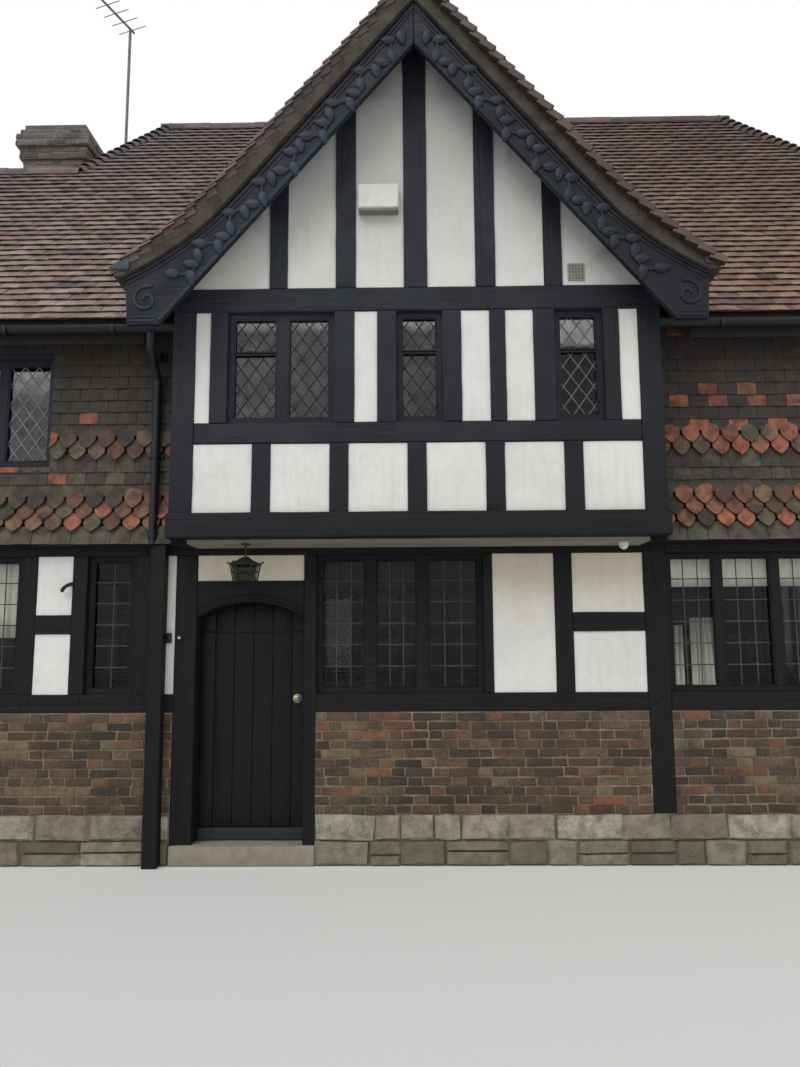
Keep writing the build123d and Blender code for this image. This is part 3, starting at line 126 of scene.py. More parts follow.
class Nodes:
    """Adds and links the nodes of one material or node group."""

    def __init__(self, tree: bpy.types.NodeTree) -> None:
        """Keeps the tree that the nodes go into."""
        self.tree = tree

    def add(self, kind: str, inputs: dict | None = None, **settings: object) -> bpy.types.Node:
        """Adds a node with its settings and inputs.

        Args:
            kind: the node's type without its ShaderNode prefix.
            inputs: values or sockets for its inputs, by name or number.
            settings: properties of the node itself.

        Returns:
            The new node.
        """
        node = self.tree.nodes.new("ShaderNode" + kind)
        for key, value in settings.items():
            setattr(node, key, value)
        self.fill(node, inputs or {})
        return node

    def fill(self, node: bpy.types.Node, inputs: dict) -> None:
        """Puts plain values into a node's inputs, and links sockets to them.

        Args:
            node: the node.
            inputs: values or sockets by the inputs' names or numbers.
        """
        for key, value in inputs.items():
            if isinstance(value, Socket):
                self.tree.links.new(value, node.inputs[key])
            else:
                node.inputs[key].default_value = value

    def axes(self) -> tuple[Socket, Socket, Socket]:
        """Object coordinates one by one: across, deep and up."""
        parts = self.add("SeparateXYZ", {0: self.add("TexCoord").outputs["Object"]}).outputs
        return parts[0], parts[1], parts[2]

    def mix(self, factor: float | Socket, first: object, second: object, blend: str = "MIX") -> Socket:
        """Mixes two colours by a factor, and gives the mixed colour."""
        node = self.add("Mix", {0: factor, 6: first, 7: second}, data_type="RGBA", blend_type=blend)
        return node.outputs[2]

    def math(self, operation: str, first: float | Socket, second: float | Socket = 0.5) -> Socket:
        """Does a sum on two values."""
        return self.add("Math", {0: first, 1: second}, operation=operation).outputs[0]

    def times(self, value: float | Socket, *others: float | Socket) -> Socket:
        """Multiplies a value by others, one after another."""
        for other in others:
            value = self.math("MULTIPLY", value, other)
        return value

    def remap(
        self, value: Socket, low: float, high: float, to_low: float = 0.0, to_high: float = 1.0,
    ) -> Socket:
        """Maps one range of a value to another, clamped."""
        names = ("Value", "From Min", "From Max", "To Min", "To Max")
        return self.add("MapRange", dict(zip(names, (value, low, high, to_low, to_high)))).outputs[0]

    def place(self, scale: Sequence[float] = (1, 1, 1)) -> Socket:
        """Object coordinates, stretched."""
        source = self.add("TexCoord").outputs["Object"]
        return self.add("Mapping", {"Vector": source, "Scale": scale}).outputs[0]

    def noise(
        self, vector: Socket, scale: float | Socket, detail: float = 3.0, rough: float = 0.55,
    ) -> Socket:
        """A noise value at a point."""
        inputs = {"Vector": vector, "Scale": scale, "Detail": detail, "Roughness": rough}
        return self.add("TexNoise", inputs).outputs["Fac"]

    def ramp(self, value: Socket, stops: Sequence[tuple[float, tuple]]) -> Socket:
        """Colours along a value.

        Args:
            value: what chooses the colour, 0 to 1.
            stops: places and colours along the ramp.

        Returns:
            The colour socket.
        """
        node = self.add("ValToRGB", {0: value})
        marks = node.color_ramp.elements
        while len(marks) < len(stops):
            marks.new(0.5)
        for mark, (where, colour) in zip(marks, stops):
            mark.position = where
            mark.color = colour
        return node.outputs["Color"]

    def attribute(self, name: str) -> Socket:
        """A value that the mesh itself carries."""
        return self.add("Attribute", attribute_name=name).outputs["Fac"]

    def group(self, name: str, inputs: dict) -> bpy.types.Node:
        """Places a shared effect with its own values.

        Args:
            name: the effect's name.
            inputs: values or sockets by the inputs' names.

        Returns:
            The node that holds it.
        """
        node = self.tree.nodes.new("ShaderNodeGroup")
        node.node_tree = bpy.data.node_groups[name]
        self.fill(node, inputs)
        return node

    def mottle(self, colour: object, second: Colour, scale: float, amount: float) -> tuple[Socket, Socket]:
        """Mottles a colour with a second one, and gives the colour and its height."""
        node = self.group("Mottle", {"Color": colour, "Second": second, "Scale": scale, "Amount": amount})
        return node.outputs["Color"], node.outputs["Height"]


class Effects:
    """Shared surface effects, each a node group with named inputs and outputs."""

    @staticmethod
    def start(
        name: str, inputs: dict[str, object], outputs: Sequence[str],
    ) -> tuple[Nodes, dict[str, Socket], bpy.types.Node]:
        """Opens a node group with its sockets.

        Args:
            name: the group's name.
            inputs: socket names with their default colour or number.
            outputs: socket names, of which Color is a colour and every other one a number.

        Returns:
            The group's nodes, its input sockets by name, and its output node.
        """
        tree = bpy.data.node_groups.new(name, "ShaderNodeTree")
        for key, value in inputs.items():
            kind = "NodeSocketColor" if isinstance(value, tuple) else "NodeSocketFloat"
            socket = tree.interface.new_socket(key, in_out="INPUT", socket_type=kind)
            socket.default_value = value
        for key in outputs:
            kind = "NodeSocketColor" if key == "Color" else "NodeSocketFloat"
            tree.interface.new_socket(key, in_out="OUTPUT", socket_type=kind)
        nodes = Nodes(tree)
        source = tree.nodes.new("NodeGroupInput")
        sink = tree.nodes.new("NodeGroupOutput")
        return nodes, {key: source.outputs[key] for key in inputs}, sink

    def mottle(self) -> None:
        """Blotches and specks of a second colour, with a height for them."""
        given = {"Color": (0.5, 0.5, 0.5, 1.0), "Second": (0.2, 0.2, 0.2, 1.0), "Scale": 8.0, "Amount": 0.5}
        nodes, take, sink = self.start("Mottle", given, ("Color", "Height"))
        where = nodes.place()
        broad = nodes.noise(where, take["Scale"], 4.0, 0.6)
        fine = nodes.noise(where, nodes.times(take["Scale"], 9.0), 3.0, 0.6)
        both = nodes.math("ADD", nodes.times(broad, 0.65), nodes.times(fine, 0.35))
        share = nodes.times(nodes.remap(both, 0.42, 0.62), take["Amount"])
        nodes.fill(sink, {"Color": nodes.mix(share, take["Color"], take["Second"]), "Height": both})

    def streaks(self) -> None:
        """Rain streaks that run down a wall."""
        given = {"Color": (0.5, 0.5, 0.5, 1.0), "Dirt": (0.1, 0.1, 0.1, 1.0), "Scale": 4.0, "Amount": 0.3}
        nodes, take, sink = self.start("Streaks", given, ("Color",))
        tall = nodes.noise(nodes.place((6.0, 6.0, 0.5)), take["Scale"], 4.0, 0.6)
        patch = nodes.noise(nodes.place(), 1.3, 2.0, 0.5)
        share = nodes.times(nodes.remap(tall, 0.45, 0.75), nodes.remap(patch, 0.35, 0.7), take["Amount"])
        nodes.fill(sink, {"Color": nodes.mix(share, take["Color"], take["Dirt"])})

    def grain(self) -> None:
        """Long wood grain, as a value and a height, along X, Y or Z by its stretches."""
        given = {"Along X": 1.0, "Along Y": 1.0, "Along Z": 1.0, "Scale": 20.0}
        nodes, take, sink = self.start("Grain", given, ("Value", "Height"))
        source = nodes.add("TexCoord").outputs["Object"]
        stretches = {0: take["Along X"], 1: take["Along Y"], 2: take["Along Z"]}
        stretch = nodes.add("CombineXYZ", stretches).outputs[0]
        where = nodes.add("VectorMath", {0: source, 1: stretch}, operation="MULTIPLY").outputs[0]
        lines = nodes.noise(where, take["Scale"], 5.0, 0.65)
        cracks = nodes.remap(nodes.noise(where, nodes.times(take["Scale"], 0.45), 2.0, 0.5), 0.36, 0.44)
        height = nodes.math("ADD", nodes.times(lines, 0.4), nodes.times(cracks, 0.6))
        nodes.fill(sink, {"Value": lines, "Height": height})

    def moss(self) -> None:
        """Moss and lichen that settles in patches."""
        given = {"Color": (0.5, 0.5, 0.5, 1.0), "Moss": (0.1, 0.12, 0.05, 1.0), "Scale": 3.0, "Amount": 0.5}
        nodes, take, sink = self.start("Moss", given, ("Color", "Height"))
        where = nodes.place()
        patch = nodes.remap(nodes.noise(where, take["Scale"], 5.0, 0.7), 0.47, 0.68)
        tuft = nodes.remap(nodes.noise(where, 60.0, 3.0, 0.6), 0.35, 0.65)
        share = nodes.times(patch, take["Amount"], tuft)
        nodes.fill(sink, {"Color": nodes.mix(share, take["Color"], take["Moss"]), "Height": share})

    def build(self) -> None:
        """Makes every shared effect."""
        self.mottle()
        self.streaks()
        self.grain()
        self.moss()


# Kinds of finish


@dataclass(frozen=True)
class Finish:
    """A finish: its slot in the record, its name and its plain values."""

    name: str
    slot: Slot
    rough: float = 0.8

    def begin(self) -> tuple[bpy.types.Material, Nodes]:
        """Opens an empty material.

        Returns:
            The material and its nodes.
        """
        material = bpy.data.materials.new(self.name)
        material.use_nodes = True
        material.node_tree.nodes.clear()
        return material, Nodes(material.node_tree)

    def roughness(self, nodes: Nodes, value: Socket, less: float, more: float) -> Socket:
        """Varies the roughness with a value, which lies mostly between 0.3 and 0.7."""
        return nodes.remap(value, 0.3, 0.7, self.rough - less, self.rough + more)

    def close(self, nodes: Nodes, colour: object, height: Socket, depth: float, **more: object) -> None:
        """Puts the surface shader on.

        Args:
            nodes: the material's nodes.
            colour: the base colour, a socket or a plain colour.
            height: what the bump follows.
            depth: the bump's depth in metres.
            more: other shader inputs, by name with underscores for spaces.
        """
        inputs = {"Base Color": colour, "Roughness": self.rough}
        inputs.update({key.replace("_", " "): value for key, value in more.items()})
        bump = nodes.add("Bump", {"Strength": 1.0, "Distance": depth, "Height": height})
        shader = nodes.add("BsdfPrincipled", {**inputs, "Normal": bump.outputs[0]})
        nodes.add("OutputMaterial", {"Surface": shader.outputs[0]})


@dataclass(frozen=True)
class TonedFinish(Finish):
    """A finish whose copies differ: each brick, stone or tile has its own tone; where set, painted shade
    darkens it higher up and on faces that look down.
    """

    stops: tuple[tuple[float, tuple], ...] = ()
    accent: Colour = (0.5, 0.2, 0.1, 1.0)
    second: Colour = (0.1, 0.1, 0.1, 1.0)
    moss: Colour = (0.09, 0.1, 0.05, 1.0)
    moss_amount: float = 0.3
    mottle_scale: float = 9.0
    mottle_amount: float = 0.5
    depth: float = 0.003
    # Painted shade: the heights between which the tiles darken; east tints them darker and browner towards
    # the right.
    dark_from: float = 0.0
    dark_to: float = 0.0
    # How strongly faces that look down are darkened, as painted shade.
    under: float = 0.0
    east: Colour = (1.0, 1.0, 1.0, 1.0)

    def material(self) -> bpy.types.Material:
        """Builds the material.

        Returns:
            The material.
        """
        material, nodes = self.begin()
        colour = nodes.ramp(nodes.attribute("tone"), self.stops)
        colour = nodes.mix(nodes.attribute("accent"), colour, self.accent)
        colour, bumps = nodes.mottle(colour, self.second, self.mottle_scale, self.mottle_amount)
        moss = nodes.group("Moss", {"Color": colour, "Moss": self.moss, "Amount": self.moss_amount})
        colour = moss.outputs["Color"]
        across, _, level = nodes.axes()
        # Painted shade: darker towards the second colour higher up the roof; the tiles are also tinted
        # darker and browner towards the right.
        if self.dark_to > self.dark_from:
            dark = nodes.remap(level, self.dark_from, self.dark_to, 0.0, 0.65)
            colour = nodes.mix(dark, colour, self.second)
            colour = nodes.mix(nodes.remap(across, -1.0, 3.0), colour, self.east, "MULTIPLY")
        # Painted shade: faces that look down, such as the tiles' tails, are darkened towards near black.
        if self.under:
            facing = nodes.add("SeparateXYZ", {0: nodes.add("NewGeometry").outputs["Normal"]}).outputs[2]
            colour = nodes.mix(nodes.remap(facing, -0.4, -0.05, self.under, 0.0), colour, srgb(14, 11, 10))
        height = nodes.math("ADD", bumps, moss.outputs["Height"])
        rough = self.roughness(nodes, bumps, 0.12, 0.1)
        self.close(nodes, colour, height, self.depth, Roughness=rough)
        return material


# The tint of the painted warm shade under the jetty.
WARM_LIGHT = (0.98, 0.85, 0.68, 1.0)


@dataclass(frozen=True)
class Mineral(Finish):
    """Plaster, mortar, stone floors, clay: one mottled colour with rain streaks; where set, painted warm
    shade under the jetty and painted grey shade higher up.
    """

    colour: Colour = (0.5, 0.5, 0.5, 1.0)
    second: Colour = (0.3, 0.3, 0.3, 1.0)
    scale: float = 6.0
    amount: float = 0.35
    streak: float = 0.2
    depth: float = 0.003
    moss_amount: float = 0.0
    # Painted shade: greyer above this height.
    grey_from: float = 0.0
    # Painted warm shade under the jetty, below this height.
    warm_to: float = 0.0

    def material(self) -> bpy.types.Material:
        """Builds the material.

        Returns:
            The material.
        """
        material, nodes = self.begin()
        colour, bumps = nodes.mottle(self.colour, self.second, self.scale, self.amount)
        streaks = nodes.group("Streaks", {"Color": colour, "Dirt": self.second, "Amount": self.streak})
        colour = streaks.outputs["Color"]
        across, _, level = nodes.axes()
        # Painted warm shade: the plaster is darkened and warmed towards the top of the ground storey, only
        # under the bay's jetty.
        if self.warm_to:
            below = nodes.remap(level, self.warm_to, self.warm_to + 0.1, 1.0, 0.0)
            near = nodes.math("POWER", nodes.remap(level, self.warm_to - 0.9, self.warm_to - 0.1), 1.5)
            under_bay = nodes.remap(nodes.math("ABSOLUTE", across), 1.9, 2.0, 1.0, 0.0)
            colour = nodes.mix(nodes.times(below, near, under_bay), colour, WARM_LIGHT, "MULTIPLY")
        # Painted shade: the plaster greys towards the second colour higher up, in the gables.
        if self.grey_from:
            high_shade = nodes.remap(level, self.grey_from, self.grey_from + 1.4, 0.0, 0.75)
            colour = nodes.mix(high_shade, colour, self.second)
        moss = nodes.group("Moss", {"Color": colour, "Amount": self.moss_amount, "Scale": 5.0})
        rough = self.roughness(nodes, bumps, 0.08, 0.08)
        self.close(nodes, moss.outputs["Color"], bumps, self.depth, Roughness=rough)
        return material


class Grain(Enum):
    """Which way the grain of a timber runs: the stretches along X, Y and Z."""

    ALONG_X = (0.6, 9.0, 9.0)
    ALONG_Y = (9.0, 0.6, 9.0)
    ALONG_Z = (9.0, 9.0, 0.6)


@dataclass(frozen=True)
class Wood(Finish):
    """Painted or bare timber, with grain, checks, worn places and dust, and, where set, painted shade low
    down and towards the right.
    """

    colour: Colour = (0.03, 0.03, 0.04, 1.0)
    worn: Colour = (0.1, 0.1, 0.1, 1.0)
    grain: Grain = Grain.ALONG_Z
    wear: float = 0.35
    depth: float = 0.004
    # How strong the painted shade is low down and towards the right.
    deep: float = 0.0
    east: float = 0.0
    dark_beyond: float = 0.0

    def material(self) -> bpy.types.Material:
        """Builds the material.

        Returns:
            The material.
        """
        material, nodes = self.begin()
        x, y, z = self.grain.value
        grain = nodes.group("Grain", {"Along X": x, "Along Y": y, "Along Z": z, "Scale": 5.0})
        worn = nodes.remap(grain.outputs["Value"], 0.35, 0.75, 0.0, self.wear)
        colour, _ = nodes.mottle(nodes.mix(worn, self.colour, self.worn), self.worn, 3.0, self.wear * 0.6)
        rough = self.roughness(nodes, grain.outputs["Value"], 0.1, 0.15)
        across, _, level = nodes.axes()
        # Painted shade: near black low down, fading out by 5 m.
        if self.deep:
            shade = nodes.math("POWER", nodes.remap(level, 2.3, 5.0, self.deep, 0.0), 2.0)
            colour = nodes.mix(shade, colour, srgb(14, 13, 12))
        # Painted shade: darker and more neutral towards the right.
        if self.east:
            colour = nodes.mix(nodes.remap(across, -1.4, 2.0, 0.0, self.east), colour, srgb(15, 17, 17))
        if self.dark_beyond:
            out = nodes.remap(nodes.math("ABSOLUTE", across), self.dark_beyond, self.dark_beyond + 0.01)
            colour = nodes.mix(out, colour, srgb(20, 21, 22))
        height = grain.outputs["Height"]
        self.close(nodes, colour, height, self.depth, Roughness=rough, Specular_IOR_Level=0.2)
        return material


@dataclass(frozen=True)
class Metal(Finish):
    """Painted, cast or bare metal, and plastic: fine specks and smears of wear."""

    colour: Colour = (0.03, 0.03, 0.03, 1.0)
    second: Colour = (0.12, 0.1, 0.08, 1.0)
    metallic: float = 0.0
    amount: float = 0.3
    depth: float = 0.0006

    def material(self) -> bpy.types.Material:
        """Builds the material.

        Returns:
            The material.
        """
        material, nodes = self.begin()
        colour, bumps = nodes.mottle(self.colour, self.second, 14.0, self.amount)
        rough = self.roughness(nodes, bumps, 0.1, 0.12)
        self.close(
            nodes, colour, bumps, self.depth,
            Roughness=rough, Metallic=self.metallic, Specular_IOR_Level=0.32,
        )
        return material


@dataclass(frozen=True)
class Glazing(Finish):
    """Old window glass: a little wavy, with more sky in the upper windows."""

    tint: Colour = (0.9, 0.93, 0.92, 1.0)
    pale: Colour = (0.775, 0.83, 0.814, 1.0)
    shaded: Colour = (0.025, 0.028, 0.028, 1.0)

    def material(self) -> bpy.types.Material:
        """Builds the material.

        Returns:
            The material.
        """
        material, nodes = self.begin()
        wave = nodes.noise(nodes.place(), 5.0, 2.0, 0.5)
        colour = nodes.mix(nodes.remap(nodes.noise(nodes.place(), 2.0), 0.3, 0.7), self.tint, self.pale)
        across, deep, level = nodes.axes()
        # Painted shade: the glass of the side and rear walls is tinted nearly black, for the dark rooms
        # behind it.
        colour = nodes.mix(nodes.remap(deep, -2.8, -2.7), colour, self.shaded)
        sky = self.mirrored(nodes, across, level)
        self.close(
            nodes, colour, wave, 0.0008, Transmission_Weight=1.0, IOR=1.22, Coat_IOR=2.3, Coat_Weight=sky,
        )
        return material

    def mirrored(self, nodes: Nodes, across: Socket, level: Socket) -> Socket:
        """How much sky the panes mirror, strongest in the tops of three of the front's upper windows.

        Args:
            nodes: the material's nodes.
            across, level: how far to the right and up a place is.

        Returns:
            The strength of the mirrored sky.
        """
        patches = nodes.remap(nodes.noise(nodes.place(), 9.0, 4.0, 0.7), 0.36, 0.64, 0.45, 1.1)
        bay_pair = nodes.remap(across, -1.6, 0.3, 0.27, 0.18)
        bay_single = nodes.remap(across, 0.5, 1.0, 1.0, 0.1)
        wing = nodes.remap(across, -3.0, -1.9, 0.9, 1.0)
        whole = nodes.times(bay_pair, bay_single, wing)
        pair_top = nodes.times(nodes.remap(level, 4.1, 4.2), nodes.remap(across, -2.5, -1.9, 0.0, 0.75))
        single_top = nodes.times(nodes.remap(level, 3.99, 4.03), nodes.remap(across, 0.6, 1.1, 0.0, 0.9))
        wing_top = nodes.times(nodes.remap(level, 3.6, 3.95), nodes.remap(across, -3.0, -2.5, 0.85, 0.0))
        top = nodes.math("MAXIMUM", pair_top, nodes.math("MAXIMUM", single_top, wing_top))
        upstairs = nodes.remap(level, 2.5, 3.1)
        return nodes.times(nodes.math("MAXIMUM", whole, top), patches, upstairs)


@dataclass(frozen=True)
class Cloth(Finish):
    """Curtain and blind cloth with a fine weave, painted shade from its shade attribute and a faint painted
    glow.
    """

    colour: Colour = (0.7, 0.7, 0.68, 1.0)

    def material(self) -> bpy.types.Material:
        """Builds the material.

        Returns:
            The material.
        """
        material, nodes = self.begin()
        where = nodes.place()
        threads = {"Vector": where, "Scale": 240.0, "Distortion": 1.0}
        weave = nodes.add("TexWave", threads, bands_direction="Z").outputs[1]
        blotch = nodes.remap(nodes.noise(where, 6.0), 0.3, 0.7, 0.0, 0.3)
        shade = nodes.mix(blotch, self.colour, srgb(150, 148, 142))
        # Painted shade: the mesh's shade attribute darkens folds, hems and tops.
        shade = nodes.mix(nodes.attribute("shade"), srgb(58, 60, 55), shade)
        # Painted light: a faint glow in the cloth's own colour stands in for the daylight that reaches it
        # through the glass.
        self.close(nodes, shade, weave, 0.0006, Emission_Color=shade, Emission_Strength=0.09)
        return material


# The finishes of this house


def tones(*marks: tuple[float, int, int, int]) -> tuple[tuple[float, Colour], ...]:
    """Turns places with their screen colours into the stops of a ramp."""
    return tuple((place, srgb(red, green, blue)) for place, red, green, blue in marks)


ROOF_TILE = TonedFinish(
    "Roof tile", Slot.ROOF, 0.86, moss_amount=0.42, mottle_scale=7.0, mottle_amount=0.5,
    stops=tones(
        (0.0, 87, 72, 70), (0.25, 120, 101, 96), (0.5, 146, 125, 116), (0.75, 168, 149, 133),
        (1.0, 118, 90, 82),
    ),
    accent=srgb(150, 104, 88), second=srgb(74, 66, 73), moss=srgb(82, 79, 64), depth=0.004,
    dark_from=4.6, dark_to=8.0, under=0.85, east=(0.82, 0.7, 0.58, 1.0),
)
BAY_TILE = replace(
    ROOF_TILE, name="Mossy roof tile", moss_amount=0.7, moss=srgb(82, 80, 66),
    stops=tones(
        (0.0, 76, 66, 61), (0.3, 100, 86, 77), (0.55, 121, 106, 94), (0.8, 138, 123, 108),
        (1.0, 104, 82, 73),
    ),
)
HUNG_TILE = TonedFinish(
    "Hung tile", Slot.HUNG, 0.84, moss_amount=0.5, mottle_scale=11.0, mottle_amount=0.85,
    stops=tones(
        (0.0, 43, 38, 37), (0.35, 58, 49, 45), (0.6, 72, 62, 54), (0.8, 82, 80, 64), (1.0, 112, 94, 74),
    ),
    accent=srgb(164, 96, 69), second=srgb(46, 40, 37), moss=srgb(74, 77, 58), depth=0.003, under=0.6,
)
BRICKS = TonedFinish(
    "Brick", Slot.BRICK, 0.88, moss_amount=0.55, mottle_scale=3.4, mottle_amount=0.85,
    stops=tones(
        (0.0, 46, 37, 32), (0.25, 68, 51, 41), (0.5, 84, 62, 48), (0.75, 106, 79, 58), (1.0, 116, 100, 77),
    ),
    accent=srgb(134, 80, 56), second=srgb(60, 49, 41), moss=srgb(118, 106, 86), depth=0.004,
)
STACK_BRICKS = TonedFinish(
    "Chimney brick", Slot.BRICK, 0.9, moss_amount=0.5, mottle_scale=12.0, mottle_amount=0.6,
    stops=tones((0.0, 75, 71, 74), (0.5, 104, 99, 101), (1.0, 122, 116, 117)),
    accent=srgb(120, 92, 80), second=srgb(69, 66, 71), moss=srgb(94, 93, 92), depth=0.003,
)
STONES = TonedFinish(
    "Plinth stone", Slot.STONE, 0.9, moss_amount=0.4, mottle_scale=10.0, mottle_amount=0.7,
    stops=tones((0.0, 78, 72, 58), (0.4, 106, 99, 82), (0.7, 146, 140, 122), (1.0, 180, 176, 160)),
    accent=srgb(176, 172, 158), second=srgb(80, 74, 60), moss=srgb(76, 75, 54), depth=0.006,
)
MORTAR = Mineral(
    "Lime mortar", Slot.BRICK, 0.92, srgb(134, 121, 100), srgb(84, 73, 59),
    scale=5.0, amount=0.8, streak=0.3, depth=0.004, moss_amount=0.3,
)
STONE_BED = Mineral(
    "Stone bedding", Slot.STONE, 0.92, srgb(104, 96, 80), srgb(66, 60, 50),
    scale=9.0, amount=0.5, streak=0.2, depth=0.004, moss_amount=0.4,
)
DOORSTEP = Mineral(
    "Worn step", Slot.STONE, 0.82, srgb(142, 136, 120), srgb(98, 92, 78),
    scale=9.0, amount=0.4, streak=0.1, depth=0.004, moss_amount=0.2,
)
FLAGS = Mineral(
    "Flagstones", Slot.FLOOR_STONE, 0.8, srgb(66, 62, 57), srgb(48, 44, 40),
    scale=3.0, amount=0.5, streak=0.0, depth=0.004,
)
PLASTER = Mineral(
    "White plaster", Slot.PLASTER, 0.9, srgb(225, 226, 222), srgb(174, 174, 172),
    scale=2.2, amount=0.22, streak=0.3, depth=0.004, grey_from=4.2, warm_to=2.5,
)
# Painted shade: the faces inside the rooms are painted dark, for the dark of the house's inside.
INNER_PLASTER = Mineral(
    "Inner plaster", Slot.INNER, 0.92, srgb(74, 68, 60), srgb(58, 53, 47),
    scale=2.0, amount=0.3, streak=0.1, depth=0.002,
)
# Painted shade: the roof decks, seen only from below under the eaves, are painted near black.
UNDER_TILES = Mineral(
    "Tile bedding", Slot.ROOF, 0.92, srgb(32, 28, 26), srgb(22, 19, 18),
    scale=9.0, amount=0.5, streak=0.1, depth=0.006,
)
VERGE = Mineral(
    "Mossy verge", Slot.ROOF, 0.94, srgb(70, 63, 57), srgb(44, 38, 35),
    scale=7.0, amount=0.8, streak=0.5, depth=0.012, moss_amount=0.6,
)
HUNG_BED = Mineral(
    "Hung tile bedding", Slot.HUNG, 0.92, srgb(40, 35, 32), srgb(24, 22, 20),
    scale=9.0, amount=0.5, streak=0.1, depth=0.004,
)
VENT_CLAY = Mineral(
    "Vent clay", Slot.VENT, 0.85, srgb(150, 148, 138), srgb(104, 102, 92),
    scale=20.0, amount=0.4, streak=0.1, depth=0.001,
)
# The blue-grey of the black timber's colour and worn places is partly the black paint and partly painted
# sky sheen; deep and east paint shade low down and towards the right.
TIMBER_UP = Wood(
    "Black timber, upright", Slot.TIMBER, 0.62, srgb(31, 33, 40), srgb(68, 74, 88),
    deep=0.96, east=0.45,
)
TIMBER_FLAT = replace(TIMBER_UP, name="Black timber, level", grain=Grain.ALONG_X)
TIMBER_SIDE = replace(TIMBER_UP, name="Black timber, side walls", grain=Grain.ALONG_Y)
# Bargeboard paint, darker towards the right as painted shade; the carving is painted paler and bluer, as
# painted highlight on its raised rolls and leaves.
SUNK = Wood(
    "Black board", Slot.TIMBER, 0.55, srgb(24, 27, 34), srgb(54, 60, 73),
    grain=Grain.ALONG_X, wear=0.3, depth=0.002, east=0.55,
)
CARVED = replace(
    SUNK, name="Black carved board", rough=0.5, colour=srgb(38, 42, 51), worn=srgb(80, 88, 104),
)
DOOR_WOOD = Wood(
    "Black door paint", Slot.DOOR, 0.46, srgb(9, 10, 9), srgb(20, 22, 20),
    grain=Grain.ALONG_Z, wear=0.3, depth=0.002,
)
SOFFIT = Wood(
    "Soffit paint", Slot.SOFFIT, 0.75, srgb(146, 140, 126), srgb(112, 105, 92),
    grain=Grain.ALONG_X, wear=0.4, depth=0.002, dark_beyond=1.77,
)
BOARDS = Wood(
    "Floor boards", Slot.BOARDS, 0.6, srgb(74, 55, 40), srgb(52, 39, 29),
    grain=Grain.ALONG_X, wear=0.6, depth=0.003,
)
IRON = Metal("Black iron", Slot.IRON, 0.5, srgb(20, 22, 22), srgb(44, 43, 41))
LEAD = Metal("Window lead", Slot.GLASS, 0.62, srgb(76, 78, 74), srgb(54, 56, 53), metallic=0.2, amount=0.5)
# Copies of the one lead painted lighter or darker by place, as painted reflection and shade: darker in the
# bay's left windows, paler in its right one, silvery in the upper windows of the walls.
SHADED_LEAD = replace(LEAD, name="Upper window lead", colour=srgb(36, 39, 42), second=srgb(56, 59, 61))
GLINTING_LEAD = replace(LEAD, name="Pale window lead", colour=srgb(100, 106, 106), second=srgb(76, 80, 80))
SKY_LIT_LEAD = replace(
    LEAD, name="Silvery window lead", colour=srgb(134, 140, 143), second=srgb(96, 101, 104),
)
TIP_LEAD = Metal("Roof lead", Slot.ROOF, 0.6, srgb(72, 77, 84), srgb(48, 51, 55), metallic=0.3, amount=0.5)
PIPE_PAINT = Metal("Gutter paint", Slot.IRON, 0.5, srgb(22, 24, 27), srgb(46, 49, 52))
BRASS = Metal(
    "Worn brass", Slot.BRASS, 0.42, srgb(150, 145, 128), srgb(92, 86, 70),
    metallic=1.0, amount=0.5,
)
BAR_PAINT = Metal(
    "Weather bar paint", Slot.BAR, 0.5, srgb(36, 40, 45), srgb(27, 29, 33),
    metallic=0.0, amount=0.45,
)
PLASTIC = Metal(
    "Pale plastic", Slot.PLASTIC, 0.45, srgb(214, 214, 208), srgb(172, 170, 160),
    metallic=0.0, amount=0.3, depth=0.0004,
)
SHADED_PLASTIC = Metal(
    "Shaded plastic", Slot.PLASTIC, 0.5, srgb(120, 119, 111), srgb(84, 82, 75),
    metallic=0.0, amount=0.4, depth=0.0004,
)
AERIAL_METAL = Metal(
    "Aerial metal", Slot.AERIAL, 0.45, srgb(96, 98, 102), srgb(62, 63, 66),
    metallic=0.8, amount=0.4,
)
GLASS = Glazing("Old window glass", Slot.GLASS, 0.06)
LAMP_GLASS = Glazing("Lantern glass", Slot.GLASS, 0.2, srgb(70, 66, 58), srgb(96, 91, 80), srgb(70, 66, 58))
LINEN = Cloth("White linen", Slot.PLASTER, 0.9, srgb(244, 241, 224))

# Modelling helpers

LOOKS: dict[str, bpy.types.Material] = {}


def look(finish: Finish) -> bpy.types.Material:
    """Gives a finish's material, built the first time it is asked for.

    Args:
        finish: the finish.

    Returns:
        Its material.
    """
    if finish.name not in LOOKS:
        LOOKS[finish.name] = finish.material()
        LOOKS[finish.name].name = finish.name.replace(",", "").replace(" ", "_")
    return LOOKS[finish.name]


def alone(piece: Object) -> None:
    """Selects one object and nothing else."""
    bpy.ops.object.select_all(action="DESELECT")
    piece.select_set(True)
    bpy.context.view_layer.objects.active = piece


@contextmanager
def editing(piece: Object) -> Iterator[None]:
    """Opens an object in edit mode with nothing selected, and closes it again.

    Args:
        piece: the mesh object.

    Yields:
        Nothing.
    """
    alone(piece)
    bpy.ops.object.mode_set(mode="EDIT")
    bpy.ops.mesh.select_all(action="DESELECT")
    yield
    bpy.ops.object.mode_set(mode="OBJECT")


